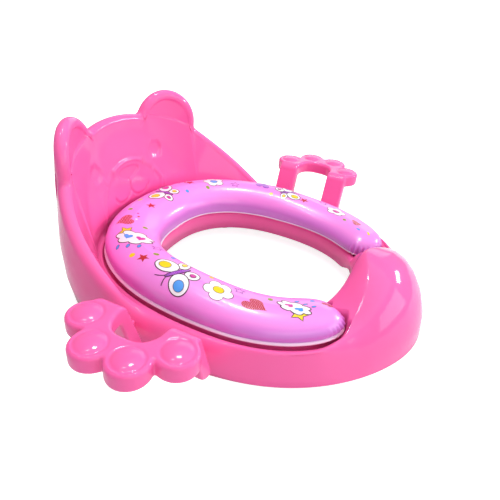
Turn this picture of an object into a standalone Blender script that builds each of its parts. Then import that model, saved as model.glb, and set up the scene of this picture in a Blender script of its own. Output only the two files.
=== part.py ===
"""Soft potty training seat with a bear-faced backrest and two paw handles.

Metres, +Z up. The seat rests on its grip pads on the plane z = 0. The child faces -Y and
+X is the child's left. The origin is on that plane, under the middle of the whole seat.

The shell is one surface that is swept round the opening and then given its wall. Its rings are
ovals, and its backrest is laid out as a chart: the distance along the rim, and the height.
"""
import math

import bmesh
import bpy
import numpy as np
from mathutils import Matrix, Vector

# Shell, overall
HALF_WIDTH = 0.1250          # outer wall at its widest
WIDEST_Y = 0.0290            # where that is
REAR_REACH = 0.1550          # outer wall behind the origin
FRONT_REACH = 0.1550         # foot of the splash guard
SHELL_WALL = 0.0024          # thickness of the moulding
EDGE_LIFT = 0.0010           # lower edge above the resting plane
WALL_DRAFT = 0.0020          # the outer wall leans in by this at the back
WALL_SWELL = 0.0042          # and swells by this half way down, at the sides of the back

# Opening and the bead round it
SIDE_BAND = 0.0510           # outer wall to opening, at the sides, the rear and the front
REAR_BAND = 0.0735
FRONT_BAND = 0.0660
OPENING_SIDE = HALF_WIDTH - SIDE_BAND
OPENING_REAR = REAR_REACH - REAR_BAND
OPENING_FRONT = FRONT_REACH - FRONT_BAND
FLANGE_LOW = 0.0100          # lower edge of the flange at the sides and back
FLANGE_LOW_FRONT = 0.0180    # and below the splash guard
BEAD_TOP = 0.0275
BEAD_WIDTH = 0.0074

# Recess for the cushion
RECESS_FLOOR = 0.0190
SIDE_DECK = 0.0110           # outer wall to recess
REAR_DECK = 0.0250
FRONT_DECK = 0.0280
RECESS_SIDE = HALF_WIDTH - SIDE_DECK
RECESS_MIDDLE_Y = -0.0150    # the recess is widest here
RECESS_REAR = REAR_REACH - REAR_DECK
RECESS_FRONT = FRONT_REACH - FRONT_DECK
RECESS_CORNER = 0.0100       # plan radius of the corners at the splash guard
RECESS_LIP = 0.0026          # rounded edge between recess and deck
DECK_TOP = 0.0300
GUARD_ANGLE = 64.4           # degrees; the recess ends here, forward of the X axis
END_WALL = 0.0014            # half the run of the recess's end wall

# Foot of the backrest's inner face
CREASE_FROM_SIDE = 0.0095    # outer wall to crease
CREASE_FROM_REAR = 0.0215
CREASE_SIDE = HALF_WIDTH - CREASE_FROM_SIDE
CREASE_MIDDLE_Y = 0.0100
CREASE_REAR = REAR_REACH - CREASE_FROM_REAR
CREASE_RISE = 0.0010

# Rim, head and ears, on the chart of the backrest
RIM_RADIUS = 0.0055
HEAD_TOP = 0.1210
HEAD_HALF = 0.0350           # from the middle to the inner notch, along the rim
HEAD_DROP = 0.0039
EAR_RADIUS = 0.0330
EAR_HEIGHT = 0.1036          # ear centre above the resting plane
NOTCH_BELOW = min(abs(HEAD_TOP - HEAD_DROP - EAR_HEIGHT), EAR_RADIUS)
EAR_FROM_NOTCH = math.sqrt(EAR_RADIUS ** 2 - NOTCH_BELOW ** 2)    # ear centre beyond the inner notch
EAR_TUCK = 11.9              # degrees that the ear goes on past its widest point
EAR_RECESS = 0.0016
EAR_RIM = 0.0080             # width of the ear's rim
NOTCH_ROUND = 0.0035         # rounding of the corners in the rim
RIM_SLOPE = 0.75             # fall of the rim from ear to arm, in height over length
RIM_STAND_HEIGHT = 0.0169    # the straight fall ends this high above the deck
RIM_FAIRING = 0.0360         # run of the curve that brings it down to the deck

# Splash guard
GUARD_TOP = 0.0640
GUARD_SLOPE_RUN = 0.0550     # from the ridge forward to the foot
GUARD_RIDGE = FRONT_REACH - GUARD_SLOPE_RUN
GUARD_FOOT = 0.0270          # height where the inner face starts to roll forwards

# Face
EYE_RADIUS = 0.0072
EYE_X = 0.0419
EYE_Z = 0.0837
FACE_DEPTH = 0.0010
FACE_LEAN = 0.11             # how far the face leans back
MUZZLE_RADIUS = 0.0450
MUZZLE_Z = 0.0380
RIB_RADIUS = 0.0013          # rib round the muzzle, half sunk in the face
FACE_BULGE = 0.0060          # the middle of the face stands out towards the child by this
BULGE_FLAT = 0.0340          # full height this far from the muzzle's middle
BULGE_REACH = 0.0750         # and none here
BULGE_FOOT = 0.0190          # run over which it comes in above the crease
MUZZLE_LOW = 0.0350
LINE_RADIUS = 0.0013
# Lines of the face, in muzzle radii from the muzzle's middle
STEM_SHARES = ((0.0016, 0.600), (-0.0016, 0.367))
MOUTH_SHARES = ((0.018, 0.367), (0.078, 0.278), (0.178, 0.222), (0.278, 0.204), (0.400, 0.233),
                (0.489, 0.300), (0.533, 0.367))
NOSE_SHARES = ((0.030, 0.600), (0.100, 0.625), (0.220, 0.690), (0.310, 0.755), (0.300, 0.820),
               (0.180, 0.867), (0.040, 0.880))

# Paw handles
PAW_TOP = 0.0600
PAW_THICK = 0.0130
PAW_STAND_OFF = 0.0250       # outer wall to the point round which the toes are laid out
PAW_CENTRE = HALF_WIDTH + PAW_STAND_OFF
PAW_VALLEY = 0.0375          # the valleys between the toes are filled out to about here
TOE_FILL = 14                # how sharp the valleys stay
PAW_SIDE = 0.0375            # half the width at the legs
PAW_TIP = 0.0495
TOE_PITCH = 42.5             # degrees
TOE_TURNS = (-1.55, -0.5, 0.5, 1.55)    # places of the toes, in pitches
TOE_CENTRE = 0.0362
TOE_RADIUS = 0.0095
TOE_RISE = 0.0018
TOE_GROOVE = 0.0007
PAW_ROUND = 0.0028
LEG_INNER = 0.0175           # half the gap between the legs
LEG_WIDTH = 0.0205
LEG_THICK = 0.0105
LEG_STAND_OFF = 0.0210       # outer wall to a leg's inner face, at the plate's top
LEG_TOP_X = HALF_WIDTH + LEG_STAND_OFF
LEG_LEAN = 0.32              # run outwards over rise
LEG_FOOT = 0.0165
LEG_SHOULDER = 0.0080        # rounding where a leg runs into the plate
LEG_TOE = 0.0090             # rounding of its lower end
NOTCH_DEPTH = 0.0200
TONGUE_WIDTH = 0.0056
TONGUE_SHIFT = 0.0062        # behind the middle of the leg
TONGUE_LOW = 0.0185
TONGUE_HIGH = 0.0245
TONGUE_REACH = 0.0075        # the tongue ends this far inside the wall's outer face
TONGUE_TIP = HALF_WIDTH - TONGUE_REACH

# Cushion
SEAM_INSET_SIDE = 0.0040     # recess to weld
SEAM_INSET_REAR = 0.0030
SEAM_INSET_FRONT = 0.0050
SEAM_OVERLAP_SIDE = 0.0049   # the weld reaches over the opening's edge by this
SEAM_OVERLAP_REAR = 0.0021
SEAM_OVERLAP_FRONT = -0.0004
SEAM_SIDE = RECESS_SIDE - SEAM_INSET_SIDE
SEAM_REAR = RECESS_REAR - SEAM_INSET_REAR
SEAM_FRONT = RECESS_FRONT - SEAM_INSET_FRONT
SEAM_INNER_SIDE = OPENING_SIDE - SEAM_OVERLAP_SIDE
SEAM_INNER_REAR = OPENING_REAR - SEAM_OVERLAP_REAR
SEAM_INNER_FRONT = OPENING_FRONT - SEAM_OVERLAP_FRONT
SEAM_INNER_Y = -0.0050
SEAM_HEIGHT = 0.0315
SEAM_INSIDE_HEIGHT = 0.0306
CUSHION_TOP = 0.0545
CUSHION_GAP = 0.0045         # seam to recess wall
CUSHION_FALL = 0.0075        # the crown is this much lower at the front ends
CROWN_LEVEL = 25.0           # degrees behind the X axis where it starts to fall
CROWN_RUN = 75.0             # degrees over which it falls
CUSHION_BULGE = 0.0016       # the sides swell past the seam by this
CUSHION_END_GAP = 0.0040
CUSHION_CORNER = 0.62        # share of the half width that the end's corners take
SKIRT_HEIGHT = 0.0286        # the underside passes over the bead at this height
COVER_WALL = 0.0008
COVER_FOOT = 0.0196
BOARD_THICK = 0.0030
BOARD_INSET = 0.0050         # board to recess wall
BOARD_BEAD_GAP = 0.0046      # board to bead
BOARD_EDGE_GAP = 0.0090      # board to the recess's end
SKIRT_GAP = 0.0024
STUD_NECK = 0.0032
STUD_BULB = 0.0037
STUD_HEAD = 0.0055
STUD_HEAD_THICK = 0.0010
STUD_LENGTH = 0.0070         # below the board
STUD_ANGLES = (-46.0, 8.0, 62.0)
LIFT_TRAVEL = 0.0600

# Grip pads
PAD_RADIUS = 0.0080
PAD_THICK = 0.0030
PAD_STEM = 0.0027
PAD_STEM_RISE = 0.0070
BOSS_RADIUS = 0.0060
BOSS_BORE = 0.0030
PAD_ANGLES = (-38.0, 42.0)

CLEAR = 0.0003
OVERRUN = 0.0020
COLUMN_PITCH = 0.0165        # spacing of the shell's mesh along the rim


def smooth(share):
    """Smooth step from 0 to 1."""
    share = np.clip(share, 0.0, 1.0)
    return share * share * (3.0 - 2.0 * share)


def stations(position, table):
    """Curve through (position, value) stations that never overshoots them."""
    place, value = np.array(table, float).T
    step = np.diff(place)
    slope = np.diff(value) / step
    pair = slope[1:] * slope[:-1]
    total = slope[1:] + slope[:-1]
    tangent = np.zeros(len(place))
    tangent[1:-1] = np.where(pair > 0, 2.0 * pair / np.where(total == 0, 1.0, total), 0.0)
    index = np.clip(np.searchsorted(place, position) - 1, 0, len(step) - 1)
    t = np.clip((position - place[index]) / step[index], 0.0, 1.0)
    rise = t * t * (3.0 - 2.0 * t)
    start = t * (1.0 - t) ** 2 * step[index] * tangent[index]
    end = t * t * (t - 1.0) * step[index] * tangent[index + 1]
    return value[index] * (1.0 - rise) + value[index + 1] * rise + start + end


def oval(middle_y, side, rear, front, powers):
    """Right half of a superellipse, as polar angles and radii about the origin.

    powers are its exponents at the side, the rear and the front.
    """
    turn = np.linspace(-math.pi / 2, math.pi / 2, 361)
    across = np.abs(np.cos(turn))
    along = np.sin(turn)
    reach = np.where(along > 0, rear - middle_y, front + middle_y)
    power = powers[0] + (np.where(along > 0, powers[1], powers[2]) - powers[0]) * along ** 2
    radius = ((across / side) ** power + (np.abs(along) / reach) ** power) ** (-1.0 / power)
    x = radius * across
    y = middle_y + radius * along
    return np.arctan2(y, x), np.hypot(x, y)


def on_ring(angle, ring):
    """Radius of a ring at a polar angle; the left half mirrors the right."""
    return np.interp(np.arcsin(np.sin(angle)), *ring)


def face_line(shares):
    """(x, z) places of a line that is given in muzzle radii."""
    return [(MUZZLE_RADIUS * x, MUZZLE_Z + MUZZLE_RADIUS * z) for x, z in shares]


STEM, MOUTH, NOSE = face_line(STEM_SHARES), face_line(MOUTH_SHARES), face_line(NOSE_SHARES)
OUTER = oval(WIDEST_Y, HALF_WIDTH, REAR_REACH, FRONT_REACH, (2.64, 2.18, 1.93))
OPENING = oval(0, OPENING_SIDE, OPENING_REAR, OPENING_FRONT, (2.3, 2.35, 2.5))
RECESS = oval(RECESS_MIDDLE_Y, RECESS_SIDE, RECESS_REAR, RECESS_FRONT, (2.3, 2.3, 2.3))
CREASE = oval(CREASE_MIDDLE_Y, CREASE_SIDE, CREASE_REAR, CREASE_REAR, (2.1, 2.15, 2.1))
SEAM_OUT = oval(RECESS_MIDDLE_Y, SEAM_SIDE, SEAM_REAR, SEAM_FRONT, (2.3, 2.3, 2.3))
SEAM_IN = oval(SEAM_INNER_Y, SEAM_INNER_SIDE, SEAM_INNER_REAR, SEAM_INNER_FRONT, (2.4, 2.5, 2.5))

# Shares along the polar angle, in degrees: how wide the outer slope has become, how high the
# crest stands between deck and guard top, how much of the wall its rounding takes, and how far
# round towards upright the rounding goes before it meets the foot.
RIDGE_SHARES = ((-90, 1.0), (-78, 0.74), (-72, 0.57), (-62.4, 0.32), (-55, 0.11), (-45, 0.02),
                (-34, 0.0), (-18, 0.0), (0, 0.04), (15, 0.03), (27, 0.0), (90, 0.0))
RISE_SHARES = ((-90, 1.0), (-84, 0.95), (-78, 0.83), (-72, 0.65), (-62.4, 0.29), (-55, 0.10),
               (-45, 0.02), (-30, 0.0), (90, 0.0))
ROLL_SHARES = ((-90, 0.96), (-45, 0.96), (-30, 0.94), (-15, 0.58), (0, 0.42), (15, 0.38),
               (27, 0.06), (36, 0.0), (90, 0.0))
UPRIGHT_SHARES = ((-90, 1.0), (-64, 0.9), (-54, 0.55), (-28, 0.55), (-15, 1.0), (90, 1.0))


def crest_radius(angle):
    """Radius of the rim's highest line, which becomes the splash guard's ridge."""
    spread = (FRONT_REACH - GUARD_RIDGE - RIM_RADIUS) * stations(np.degrees(angle), RIDGE_SHARES)
    outer = on_ring(angle, OUTER)
    line = outer - RIM_RADIUS - spread
    beside = on_ring(angle, RECESS) + RECESS_LIP * 1.4
    beside = np.maximum(beside, on_ring(angle, CREASE) + RECESS_LIP * 0.4)
    guard = smooth((-np.degrees(angle) - 46.0) / 9.0)
    return np.maximum(line, beside) * (1.0 - guard) + line * guard


def recess_edge(angle):
    """Radius of the recess's outer edge, which gives way to the ridge beside its end."""
    return np.minimum(on_ring(angle, RECESS), crest_radius(angle) - RECESS_LIP * 1.4)


def deck_edge(angle):
    """Radius of the deck's outer edge, where the backrest's inner face starts."""
    edge = np.maximum(recess_edge(angle) + RECESS_LIP, on_ring(angle, CREASE))
    return np.minimum(edge, crest_radius(angle) - RECESS_LIP * 0.4)


def toe_line(degrees):
    """Radius of the toed edge at a polar angle: the far side of four circles, with filled valleys."""
    lobe = PAW_TIP - TOE_CENTRE
    total = (np.zeros(np.shape(degrees)) + PAW_VALLEY) ** TOE_FILL
    for turn in TOE_TURNS:
        away = np.radians(degrees - turn * TOE_PITCH)
        across = lobe ** 2 - (TOE_CENTRE * np.sin(away)) ** 2
        reach = TOE_CENTRE * np.cos(away) + np.sqrt(np.maximum(across, 0.0))
        total = total + np.where((across > 0) & (np.cos(away) > 0), reach, 0.0) ** TOE_FILL
    return total ** (1.0 / TOE_FILL)


def face_bulge(x, z):
    """How far a place on the backrest's face stands out towards the child."""
    away = np.hypot(x, z - MUZZLE_Z)
    up = smooth((z - DECK_TOP - CREASE_RISE) / BULGE_FOOT)
    return FACE_BULGE * smooth((BULGE_REACH - away) / (BULGE_REACH - BULGE_FLAT)) * up


class Chart:
    """The backrest's wall laid flat: distance s along the rim from its middle, and height."""

    def __init__(self):
        self.angle = np.radians(np.linspace(90, -90, 1441))
        radius = crest_radius(self.angle)
        x = radius * np.cos(self.angle)
        y = radius * np.sin(self.angle)
        self.s = np.concatenate([[0], np.cumsum(np.hypot(np.diff(x), np.diff(y)))])
        self.low_z = EAR_HEIGHT - EAR_RADIUS * math.sin(math.radians(EAR_TUCK))
        self.low_s = HEAD_HALF + EAR_FROM_NOTCH + EAR_RADIUS * math.cos(math.radians(EAR_TUCK))
        self.notch_z = HEAD_TOP - HEAD_DROP
        self.lay_path()

    def angle_at(self, s):
        return np.interp(s, self.s, self.angle)

    def lay_path(self):
        """The crest line from the middle of the head, round the ear and down to the guard."""
        head_s = np.linspace(0, HEAD_HALF, 20)
        head_z = HEAD_TOP - HEAD_DROP * (head_s / HEAD_HALF) ** 2
        start = math.atan2(self.notch_z - EAR_HEIGHT, -EAR_FROM_NOTCH) % (2 * math.pi)
        sweep = np.linspace(start, -math.radians(EAR_TUCK), 60)[1:]
        round_s = HEAD_HALF + EAR_FROM_NOTCH + EAR_RADIUS * np.cos(sweep)
        round_z = EAR_HEIGHT + EAR_RADIUS * np.sin(sweep)
        run = max(self.low_z - DECK_TOP - RIM_STAND_HEIGHT, RIM_RADIUS) / RIM_SLOPE
        fall = np.linspace(0, run, 30)[1:]
        fall_s = self.low_s + fall
        fall_z = self.low_z - RIM_SLOPE * fall
        t = np.linspace(0, 1, 20)[1:]
        ease = t * t * (3.0 - 2.0 * t)
        fair_s = fall_s[-1] + RIM_FAIRING * t
        fair_z = fall_z[-1] * (1.0 - ease) + DECK_TOP * ease - RIM_SLOPE * RIM_FAIRING * t * (1.0 - t) ** 2
        self.arm_s = fair_s[-1]
        rest_s = np.linspace(fair_s[-1], self.s[-1], 120)[1:]
        rest_z = DECK_TOP + (GUARD_TOP - DECK_TOP) * stations(np.degrees(self.angle_at(rest_s)), RISE_SHARES)
        s = np.concatenate([head_s, round_s, fall_s, fair_s, rest_s])
        z = np.concatenate([head_z, round_z, fall_z, fair_z, rest_z])
        length = np.concatenate([[0], np.cumsum(np.hypot(np.diff(s), np.diff(z)))])
        even = np.linspace(0, length[-1], 1201)
        s, z = np.interp(even, length, s), np.interp(even, length, z)
        window = int(round(NOTCH_ROUND / even[1]))
        kernel = np.ones(2 * window + 1) / (2 * window + 1)
        long_s = np.concatenate([-s[window:0:-1], s, 2 * s[-1] - s[-2:-window - 2:-1]])
        long_z = np.concatenate([z[window:0:-1], z, z[-2:-window - 2:-1]])
        self.u = even
        self.path_s = np.convolve(long_s, kernel, "valid")
        self.path_z = np.convolve(long_z, kernel, "valid")
        run_s, run_z = np.gradient(self.path_s), np.gradient(self.path_z)
        size = np.hypot(run_s, run_z)
        self.inward_s, self.inward_z = run_z / size, -run_s / size
        near = np.hypot(self.path_s - HEAD_HALF, self.path_z - self.notch_z)
        far = np.hypot(self.path_s - self.low_s, self.path_z - self.low_z)
        self.u_in, self.u_out = even[np.argmin(near)], even[np.argmin(far)]
        self.u_arm = np.interp(self.arm_s, self.path_s[even > self.u_out], even[even > self.u_out])
        self.u_end = np.interp(math.radians(GUARD_ANGLE), -self.angle_at(self.path_s), even)

    def head_line(self, s):
        """Height of the head's own outline, which runs on in front of the ear."""
        near = HEAD_TOP - HEAD_DROP * (s / HEAD_HALF) ** 2
        t = np.clip((s - HEAD_HALF) / (self.low_s - HEAD_HALF), 0.0, 1.0)
        far = self.notch_z + (self.low_z - self.notch_z) * t + 4.0 * t * (1.0 - t) * HEAD_DROP
        return np.where(s < HEAD_HALF, near, far)


def shell_columns(chart, spacing, end_shares):
    """Positions along the crest line: closer round the ear, its notches and the guard."""
    u = chart.u
    step = np.where(u < MUZZLE_RADIUS + LINE_RADIUS, spacing * 0.6, spacing)
    step = np.where((u > chart.u_in) & (u < chart.u_out), spacing * 0.62, step)
    for corner in (chart.u_in, chart.u_out):
        step = np.where(np.abs(u - corner) < 2.5 * NOTCH_ROUND, spacing * 0.28, step)
    step = np.where(u > chart.u_arm, spacing * 1.1, step)
    step = np.where(np.abs(u - chart.u_end) < 1.3 * RECESS_CORNER, spacing * 0.36, step)
    count = np.concatenate([[0], np.cumsum(np.diff(u) / step[1:])])
    column = np.interp(np.linspace(0, count[-1], int(round(count[-1])) + 1), count, u)
    column = column[np.abs(column - chart.u_end) > END_WALL + spacing * 0.25]
    reach = np.array(end_shares) * END_WALL
    return np.sort(np.concatenate([column, chart.u_end + reach]))


def shell_half(spacing, end_shares, bead, floor, fillet, face, roll, foot):
    """Corner points of the shell's right half; its rows run from the flange to the foot.

    bead, floor, face and foot are shares across those zones, fillet and roll angles in degrees.
    """
    chart = Chart()
    column = shell_columns(chart, spacing, end_shares)
    path_s, path_z = np.interp(column, chart.u, chart.path_s), np.interp(column, chart.u, chart.path_z)
    in_s, in_z = np.interp(column, chart.u, chart.inward_s), np.interp(column, chart.u, chart.inward_z)
    ear = (column > chart.u_in) & (column < chart.u_out)
    ear_share = (column - chart.u_in) / (chart.u_out - chart.u_in)
    deck_s = np.where(ear, HEAD_HALF + ear_share * (chart.low_s - HEAD_HALF), path_s)
    deck = chart.angle_at(deck_s)
    crest_angle = chart.angle_at(path_s)
    flat = 0.0 * deck
    backed = 1.0 - smooth((column - chart.u_arm + RIM_FAIRING) / RIM_FAIRING)
    end_angle = -math.radians(GUARD_ANGLE)
    reach_back, reach_front = math.radians(24), math.radians(16)
    near_end = np.where(deck > end_angle, (deck - end_angle) / reach_back, (end_angle - deck) / reach_front)
    hold = 1.0 - smooth(near_end)

    def shifted(inside_by):
        """Polar angles of a row this far inside the recess's edge, round the corner at its end."""
        depth = min(max(RECESS_CORNER - inside_by, 0.0), RECESS_CORNER)
        length = RECESS_CORNER - math.sqrt(RECESS_CORNER ** 2 - (0.94 * depth) ** 2)
        return deck + hold * length / recess_edge(deck)

    rows = []

    def add(angle, radius, height):
        rows.append((angle, radius + flat, height + flat))

    crest_front = path_z[column > chart.u_out]
    angle_front = -crest_angle[column > chart.u_out]

    def crest_at(angle):
        return np.interp(-angle, angle_front, crest_front)

    moved = shifted(0.0) - deck
    crest_angle = crest_angle + moved
    path_z = np.where(moved > 0, crest_at(crest_angle), path_z)
    path_s = np.where(moved > 0, np.interp(-crest_angle, -chart.angle, chart.s), path_s)

    opening = on_ring(deck, OPENING)
    low = FLANGE_LOW + (FLANGE_LOW_FRONT - FLANGE_LOW) * smooth((-np.degrees(deck) - 52) / 14)
    add(deck, opening, low)
    for share in bead:
        drop = BEAD_WIDTH * 0.4 * (1.0 - math.sqrt(max(1.0 - (2.0 * share - 1.0) ** 2, 0.0)))
        add(deck, opening + BEAD_WIDTH * share, BEAD_TOP - drop)
    lip = RECESS_LIP
    for degree in fillet:
        theta = math.radians(degree)
        add(deck, opening + BEAD_WIDTH + lip * (0.1 + 0.5 * math.sin(theta)),
            RECESS_FLOOR + lip * 0.6 * (1.0 - math.sin(theta)))
    foot_in = opening + BEAD_WIDTH + lip * 0.6
    foot_out = recess_edge(deck) - lip * 1.2
    for share in floor:
        gap = float(np.min(foot_out - foot_in)) * (1.0 - share)
        angle = shifted(gap + lip * 1.2)
        inner = on_ring(angle, OPENING) + BEAD_WIDTH + lip * 0.6
        outer = recess_edge(angle) - lip * 1.2
        add(angle, inner + (outer - inner) * share, RECESS_FLOOR)
    for degree in (0,) + fillet:
        theta = math.radians(degree)
        inside = lip * (1.2 - 1.1 * math.sin(theta))
        angle = shifted(inside)
        add(angle, recess_edge(angle) - inside, RECESS_FLOOR + lip * 0.8 * (1.0 - math.cos(theta)))
    for degree in (0,) + fillet:
        theta = math.radians(degree)
        inside = -lip * 0.8 * (1.0 - math.cos(theta))
        angle = shifted(0.0)
        add(angle, recess_edge(angle) - inside, DECK_TOP - lip * 0.8 * (1.0 - math.sin(theta)))
    angle = shifted(0.0)
    foot_z = DECK_TOP + CREASE_RISE * smooth((np.degrees(angle) - 10) / 20)
    add(angle, deck_edge(angle), foot_z)
    foot_s = np.interp(-angle, -chart.angle, chart.s)

    # Inner face and inner half of the rim. At an ear the face steps back above the head line.
    rim = RIM_RADIUS * smooth((path_z - DECK_TOP) / (2.2 * RIM_RADIUS))
    turn_s, turn_z = path_s + in_s * rim, path_z + in_z * rim
    span = np.maximum(np.hypot(turn_s - foot_s, turn_z - foot_z), RIM_RADIUS)
    margin = RIM_RADIUS + 0.5 * lip
    level_s = HEAD_HALF + margin + np.clip(ear_share, 0, 1) * (chart.low_s - HEAD_HALF - 2.0 * margin)
    level_z = chart.head_line(level_s)
    back = np.minimum((EAR_RIM - RIM_RADIUS + lip) / span, 0.5)
    level_s = np.where(ear, level_s, turn_s + (foot_s - turn_s) * back)
    level_z = np.where(ear, level_z, turn_z + (foot_z - turn_z) * back)
    rise = np.maximum(np.hypot(turn_s - level_s, turn_z - level_z), lip / 10)
    half = np.minimum(0.45 * lip, 0.15 * rise) / rise
    top = np.minimum(EAR_RIM - RIM_RADIUS, 0.5 * rise) / rise
    low_half = half * rise / np.maximum(np.hypot(level_s - foot_s, level_z - foot_z), lip)
    sunk = np.where(ear, smooth((rise - lip) / (1.6 * lip)), 0.0)
    sunk = sunk * (1.0 - 0.7 * smooth((ear_share - 0.45) / 0.35))
    outside = np.maximum(chart.u_in - column, column - chart.u_out)
    bunched = 1.0 - smooth(outside / (2.0 * EAR_RIM))
    shares = (0.0, 0.4, 0.5, 0.8, 0.9, 1.0)

    def knot(order):
        """Chart position of the column at one of the shares."""
        if order == 0:
            return foot_s, foot_z
        if order == 5:
            return turn_s, turn_z
        if order == 1:
            s = level_s + (foot_s - level_s) * low_half
            z = level_z + (foot_z - level_z) * low_half
        else:
            part = (None, None, half, 1.0 - top - half, 1.0 - top + half)[order]
            s = level_s + (turn_s - level_s) * part
            z = level_z + (turn_z - level_z) * part
        plain_s = foot_s + (turn_s - foot_s) * shares[order]
        plain_z = foot_z + (turn_z - foot_z) * shares[order]
        return plain_s + (s - plain_s) * bunched, plain_z + (z - plain_z) * bunched

    total = len(face) + len(roll)

    def plain_row(order):
        """Row of the low rim without a backrest: it swells from the deck's edge to the crest."""
        share = order / total
        angle = rows[foot_row][0] * (1.0 - share) + crest_angle * share
        radius = deck_edge(angle) + (crest_radius(angle) - deck_edge(angle)) * share
        swell = math.sqrt(1.0 - (1.0 - share) ** 2)
        return angle, radius, DECK_TOP + (crest_at(angle) - DECK_TOP) * swell

    def mixed(order, angle, radius, height):
        other = plain_row(order)
        add(other[0] + (angle - other[0]) * backed, other[1] + (radius - other[1]) * backed,
            other[2] + (height - other[2]) * backed)

    foot_row = len(rows) - 1
    for order, value in enumerate(face):
        index = int(np.searchsorted(shares, value, "right")) - 1
        part = (value - shares[index]) / (shares[index + 1] - shares[index])
        (start_s, start_z), (end_s, end_z) = knot(index), knot(index + 1)
        s = start_s + (end_s - start_s) * part
        z = start_z + (end_z - start_z) * part
        depth = EAR_RECESS * (0.0, smooth(part), 1.0, 1.0 - smooth(part), 0.0)[index] * sunk
        angle = chart.angle_at(s)
        full_z = np.where(ear, level_z, turn_z)
        up = np.clip((z - foot_z) / np.maximum(full_z - foot_z, lip / 10), 0.0, 1.0)
        up = np.where(turn_z - foot_z < lip, value, up)
        inner, outer = deck_edge(angle), crest_radius(angle) - rim
        radius = inner + (outer - inner) * up
        mixed(order + 1, angle, radius + depth - face_bulge(radius * np.cos(angle), z), z)
    for order, degree in enumerate(roll):
        theta = math.radians(degree)
        s = path_s + in_s * rim * (1.0 - math.cos(theta))
        z = path_z + in_z * rim * (1.0 - math.cos(theta))
        angle = chart.angle_at(s)
        mixed(len(face) + order + 1, angle, crest_radius(angle) - rim * math.sin(theta), z)

    # The splash guard is one rounded face from the opening to the ridge. Its rows keep the
    # shares that the recess's rows have where the recess ends.
    guard = smooth((column - chart.u_end) / (2.0 * END_WALL) + 0.5)
    at_end = int(np.argmin(np.abs(column - chart.u_end)))
    first = bead[1]
    for order in range(1, len(rows)):
        angle, radius, height = rows[order]
        inner, outer = on_ring(angle, OPENING), crest_radius(angle)
        mark = (radius[at_end] - inner[at_end]) / (outer[at_end] - inner[at_end])
        even = inner + (outer - inner) * mark
        radius = np.where(column > chart.u_end, even, radius)
        start = inner + BEAD_WIDTH * first
        across = np.clip((outer - radius) / (outer - start), 0.0, 1.0)
        arc = GUARD_FOOT + (crest_at(angle) - GUARD_FOOT) * np.sqrt(1.0 - across ** 2)
        arc = np.where(radius < start, np.minimum(height, GUARD_FOOT), arc)
        rows[order] = (angle, radius, height + (arc - height) * guard)

    # Outer half of the rim and the outer wall.
    tall = RIM_RADIUS + (path_z - RIM_RADIUS - EDGE_LIFT) * stations(np.degrees(crest_angle), ROLL_SHARES)
    upright = stations(np.degrees(crest_angle), UPRIGHT_SHARES)
    upright = math.pi / 2 * (upright + (1.0 - upright) * backed)
    for degree in roll[-2::-1]:
        theta = upright * degree / roll[0]
        down = tall * (1.0 - np.cos(theta)) / (1.0 - np.cos(upright))
        s = path_s + in_s * down * backed
        z = path_z + (in_z * backed - (1.0 - backed)) * down
        angle = chart.angle_at(s)
        inner = crest_radius(angle)
        reach = np.sin(theta) / np.sin(upright)
        add(angle, inner + (on_ring(angle, OUTER) - inner) * reach, z)
    last_s, last_z = s, z
    base_s = np.where(ear, deck_s, path_s)
    for share in foot:
        angle = chart.angle_at(last_s + (base_s - last_s) * share)
        beside = smooth((np.degrees(angle) - 22) / 20) * smooth((86 - np.degrees(angle)) / 20)
        lean = WALL_DRAFT * smooth(np.degrees(angle) / 40) * share
        lean = lean - 4.0 * WALL_SWELL * beside * share * (1.0 - share)
        add(angle, on_ring(angle, OUTER) - lean, last_z + (EDGE_LIFT - last_z) * share)
    grid = np.array(rows)
    x = grid[:, 1] * np.cos(grid[:, 0])
    x[:, 0] = 0.0
    x[:, -1] = 0.0
    return np.stack([x, grid[:, 1] * np.sin(grid[:, 0]), grid[:, 2]], axis=-1)


def closed_ring(half):
    """Mirror a half grid at X = 0 and join the two into rows that close on themselves."""
    other = half[:, -2:0:-1] * np.array([-1.0, 1.0, 1.0])
    return np.concatenate([half, other], axis=1)


def ring_faces(rows, columns):
    """Quads of a grid whose rows close on themselves."""
    faces = []
    for row in range(rows - 1):
        for place in range(columns):
            after = (place + 1) % columns
            faces.append((row * columns + place, row * columns + after,
                          (row + 1) * columns + after, (row + 1) * columns + place))
    return faces


def collection(name):
    group = bpy.data.collections.new(name)
    bpy.context.scene.collection.children.link(group)
    return group


def material(name, colour, roughness, metallic=0.0):
    mat = bpy.data.materials.new(name)
    mat.use_nodes = True
    shader = mat.node_tree.nodes["Principled BSDF"]
    shader.inputs["Base Color"].default_value = (*colour, 1.0)
    shader.inputs["Roughness"].default_value = roughness
    shader.inputs["Metallic"].default_value = metallic
    mat.diffuse_color = (*colour, 1.0)
    return mat


def mesh_object(name, points, faces, mat, group):
    mesh = bpy.data.meshes.new(name)
    mesh.from_pydata([tuple(point) for point in points], [], faces)
    obj = bpy.data.objects.new(name, mesh)
    if mat:
        mesh.materials.append(mat)
    group.objects.link(obj)
    return obj


def shade(obj, sharp=40):
    obj.data.shade_smooth()
    obj.data.set_sharp_from_angle(angle=math.radians(sharp))


def fixed(obj):
    """Turn an object's modifiers into plain mesh."""
    shape = bpy.data.meshes.new_from_object(obj.evaluated_get(bpy.context.evaluated_depsgraph_get()))
    obj.modifiers.clear()
    obj.data = shape
    return obj


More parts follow.
